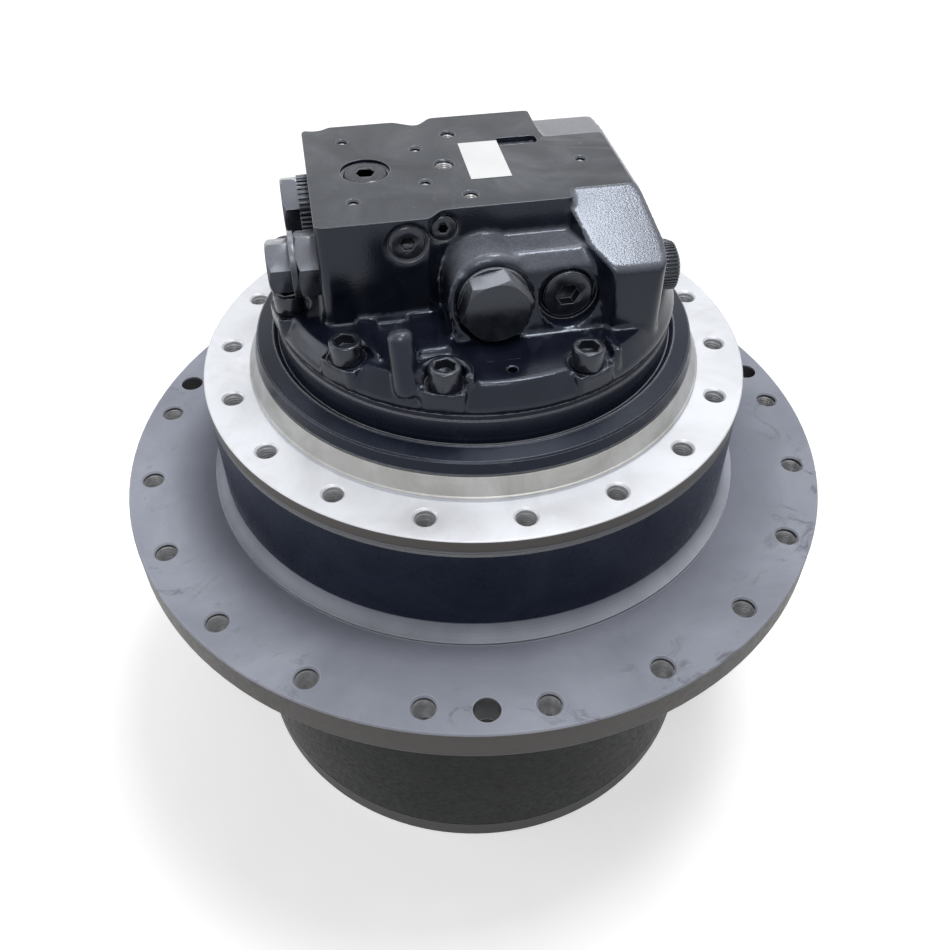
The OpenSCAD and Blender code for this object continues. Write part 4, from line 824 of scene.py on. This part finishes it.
THREAD = plain("cut thread in iron", (0.34, 0.34, 0.35), (0.50, 0.505, 0.52), 0.5, (0.28, 0.40), 240.0)
CHAMFER = 0.0012
frame_holes = hole_circle(0.159, 10.54, 18, FRAME_Z - CHAMFER)
sprocket_holes = hole_circle(0.225, -7.02, 20, FLANGE_Z - CHAMFER)
frame_liner = thread_liner(0.00545, 0.00597, 0.002, 0.0265)
thread_pattern("frame_hole_threads", frame_liner, frame_holes, "housing", THREAD)
sprocket_liner = thread_liner(0.0064, 0.00697, 0.002, 0.0205)
thread_pattern("sprocket_hole_threads", sprocket_liner, sprocket_holes, "hub", THREAD)
for size, crest, depth, holes in (
    ("small", 0.00225, 0.0110, SMALL_HOLES),
    ("middle", 0.00315, 0.0120, MIDDLE_HOLES),
    ("large", 0.00450, 0.0140, LARGE_HOLES),
):
    liner = thread_liner(crest, holes[0][2] / 1000 + 0.00003, 0.0012, depth)
    places = [on_block(*mm(*hole[:2], 452.7)) for hole in holes]
    thread_pattern(size + "_top_hole_threads", liner, places, "housing", THREAD)


# The sticker on the top, blank on purpose

def sticker():
    deselect()
    bpy.ops.mesh.primitive_plane_add(size=1.0)
    piece = bpy.context.object
    piece.scale = (0.0235, 0.0455, 1)
    piece.location = on_block(0.0085, 0.011, TOP_Z + 0.00005)
    piece.rotation_euler = (0, 0, BLOCK_TURN)
    apply_place()
    edit(piece)
    bpy.ops.mesh.extrude_region_move(TRANSFORM_OT_translate={"value": (0, 0, 0.0002)})
    bpy.ops.mesh.select_all(action="SELECT")
    bpy.ops.mesh.normals_make_consistent(inside=False)
    bpy.ops.object.mode_set(mode="OBJECT")
    bevel = piece.modifiers.new("edge", "BEVEL")
    bevel.width = 0.00006
    bevel.segments = 2
    apply_modifier(piece, bevel)
    material = plain("white sticker", (0.64, 0.65, 0.655), (0.70, 0.71, 0.715), 0.0, (0.35, 0.45), 40.0, 0.02)
    piece.data.materials.append(material)
    settle(piece, "blank_sticker", "housing")


sticker()


# Camera, floor and light

def look_at(place, aim):
    return (Vector(aim) - Vector(place)).to_track_quat("-Z", "Y").to_euler()


camera_data = bpy.data.cameras.new("camera")
camera_data.lens = 36.16
camera_data.sensor_width = 36.0
camera = bpy.data.objects.new("camera", camera_data)
bpy.context.scene.collection.objects.link(camera)
eye = Vector((0.00104, -0.5120, 0.7098))
aim = Vector((0.00104, 0.0, 0.2101))
camera.location = eye
camera.rotation_euler = look_at(eye, aim)
bpy.context.scene.camera = camera

deselect()
bpy.ops.mesh.primitive_plane_add(size=8.0, location=(0, 0, 0))
floor = bpy.context.object
floor.name = "floor"


WHITE = (1, 1, 1, 1)


def seen_directly(tree):
    """1 for rays from the camera, from mirrors and through glass, 0 for the light that falls on things."""
    path = add(tree, "ShaderNodeLightPath")
    mirrored = maths(tree, "MAXIMUM", path.outputs["Is Glossy Ray"], path.outputs["Is Transmission Ray"])
    return maths(tree, "MAXIMUM", path.outputs["Is Camera Ray"], mirrored)


floor_material, tree, shader = new_material("pale floor")
shader.inputs["Base Color"].default_value = (0.80, 0.80, 0.80, 1)
shader.inputs["Roughness"].default_value = 0.9
shader.inputs["Specular IOR Level"].default_value = 0.1
shader.inputs["Emission Color"].default_value = WHITE
# the lamps fade towards the far floor, which would turn grey
away = add(tree, "ShaderNodeVectorMath", operation="LENGTH")
tree.links.new(object_coordinates(tree), away.inputs[0])
far_floor = spread(tree, away.outputs["Value"], 0.7, 2.6, 0.46, 0.97)
tree.links.new(maths(tree, "MULTIPLY", seen_directly(tree), far_floor), shader.inputs["Emission Strength"])
floor.data.materials.append(floor_material)

world = bpy.data.worlds.new("studio")
bpy.context.scene.world = world
world.use_nodes = True
tree = world.node_tree
background = tree.nodes["Background"]
background.inputs["Color"].default_value = WHITE
tree.links.new(spread(tree, seen_directly(tree), 0.0, 1.0, 0.17, 1.0), background.inputs["Strength"])


def lamp(name, place, aim, size, power, size_y=None):
    data = bpy.data.lights.new(name, "AREA")
    data.shape = "RECTANGLE"
    data.size = size
    data.size_y = size_y or size
    data.energy = power
    light = bpy.data.objects.new(name, data)
    bpy.context.scene.collection.objects.link(light)
    light.location = place
    light.rotation_euler = look_at(place, aim)


lamp("overhead softbox", (0.33, 0.08, 2.0), (0, 0, 0.4), 0.5, 18, 0.5)
lamp("back softbox", (0.1, 1.25, 2.1), (0, 0, 0.35), 2.0, 11, 0.7)
lamp("front softbox", (0.0, -1.25, 1.9), (0, 0, 0.35), 0.9, 10, 0.45)
lamp("left window", (-1.9, -0.1, 1.0), (0, 0, 0.25), 1.3, 9)

bpy.context.scene.view_settings.view_transform = "Standard"
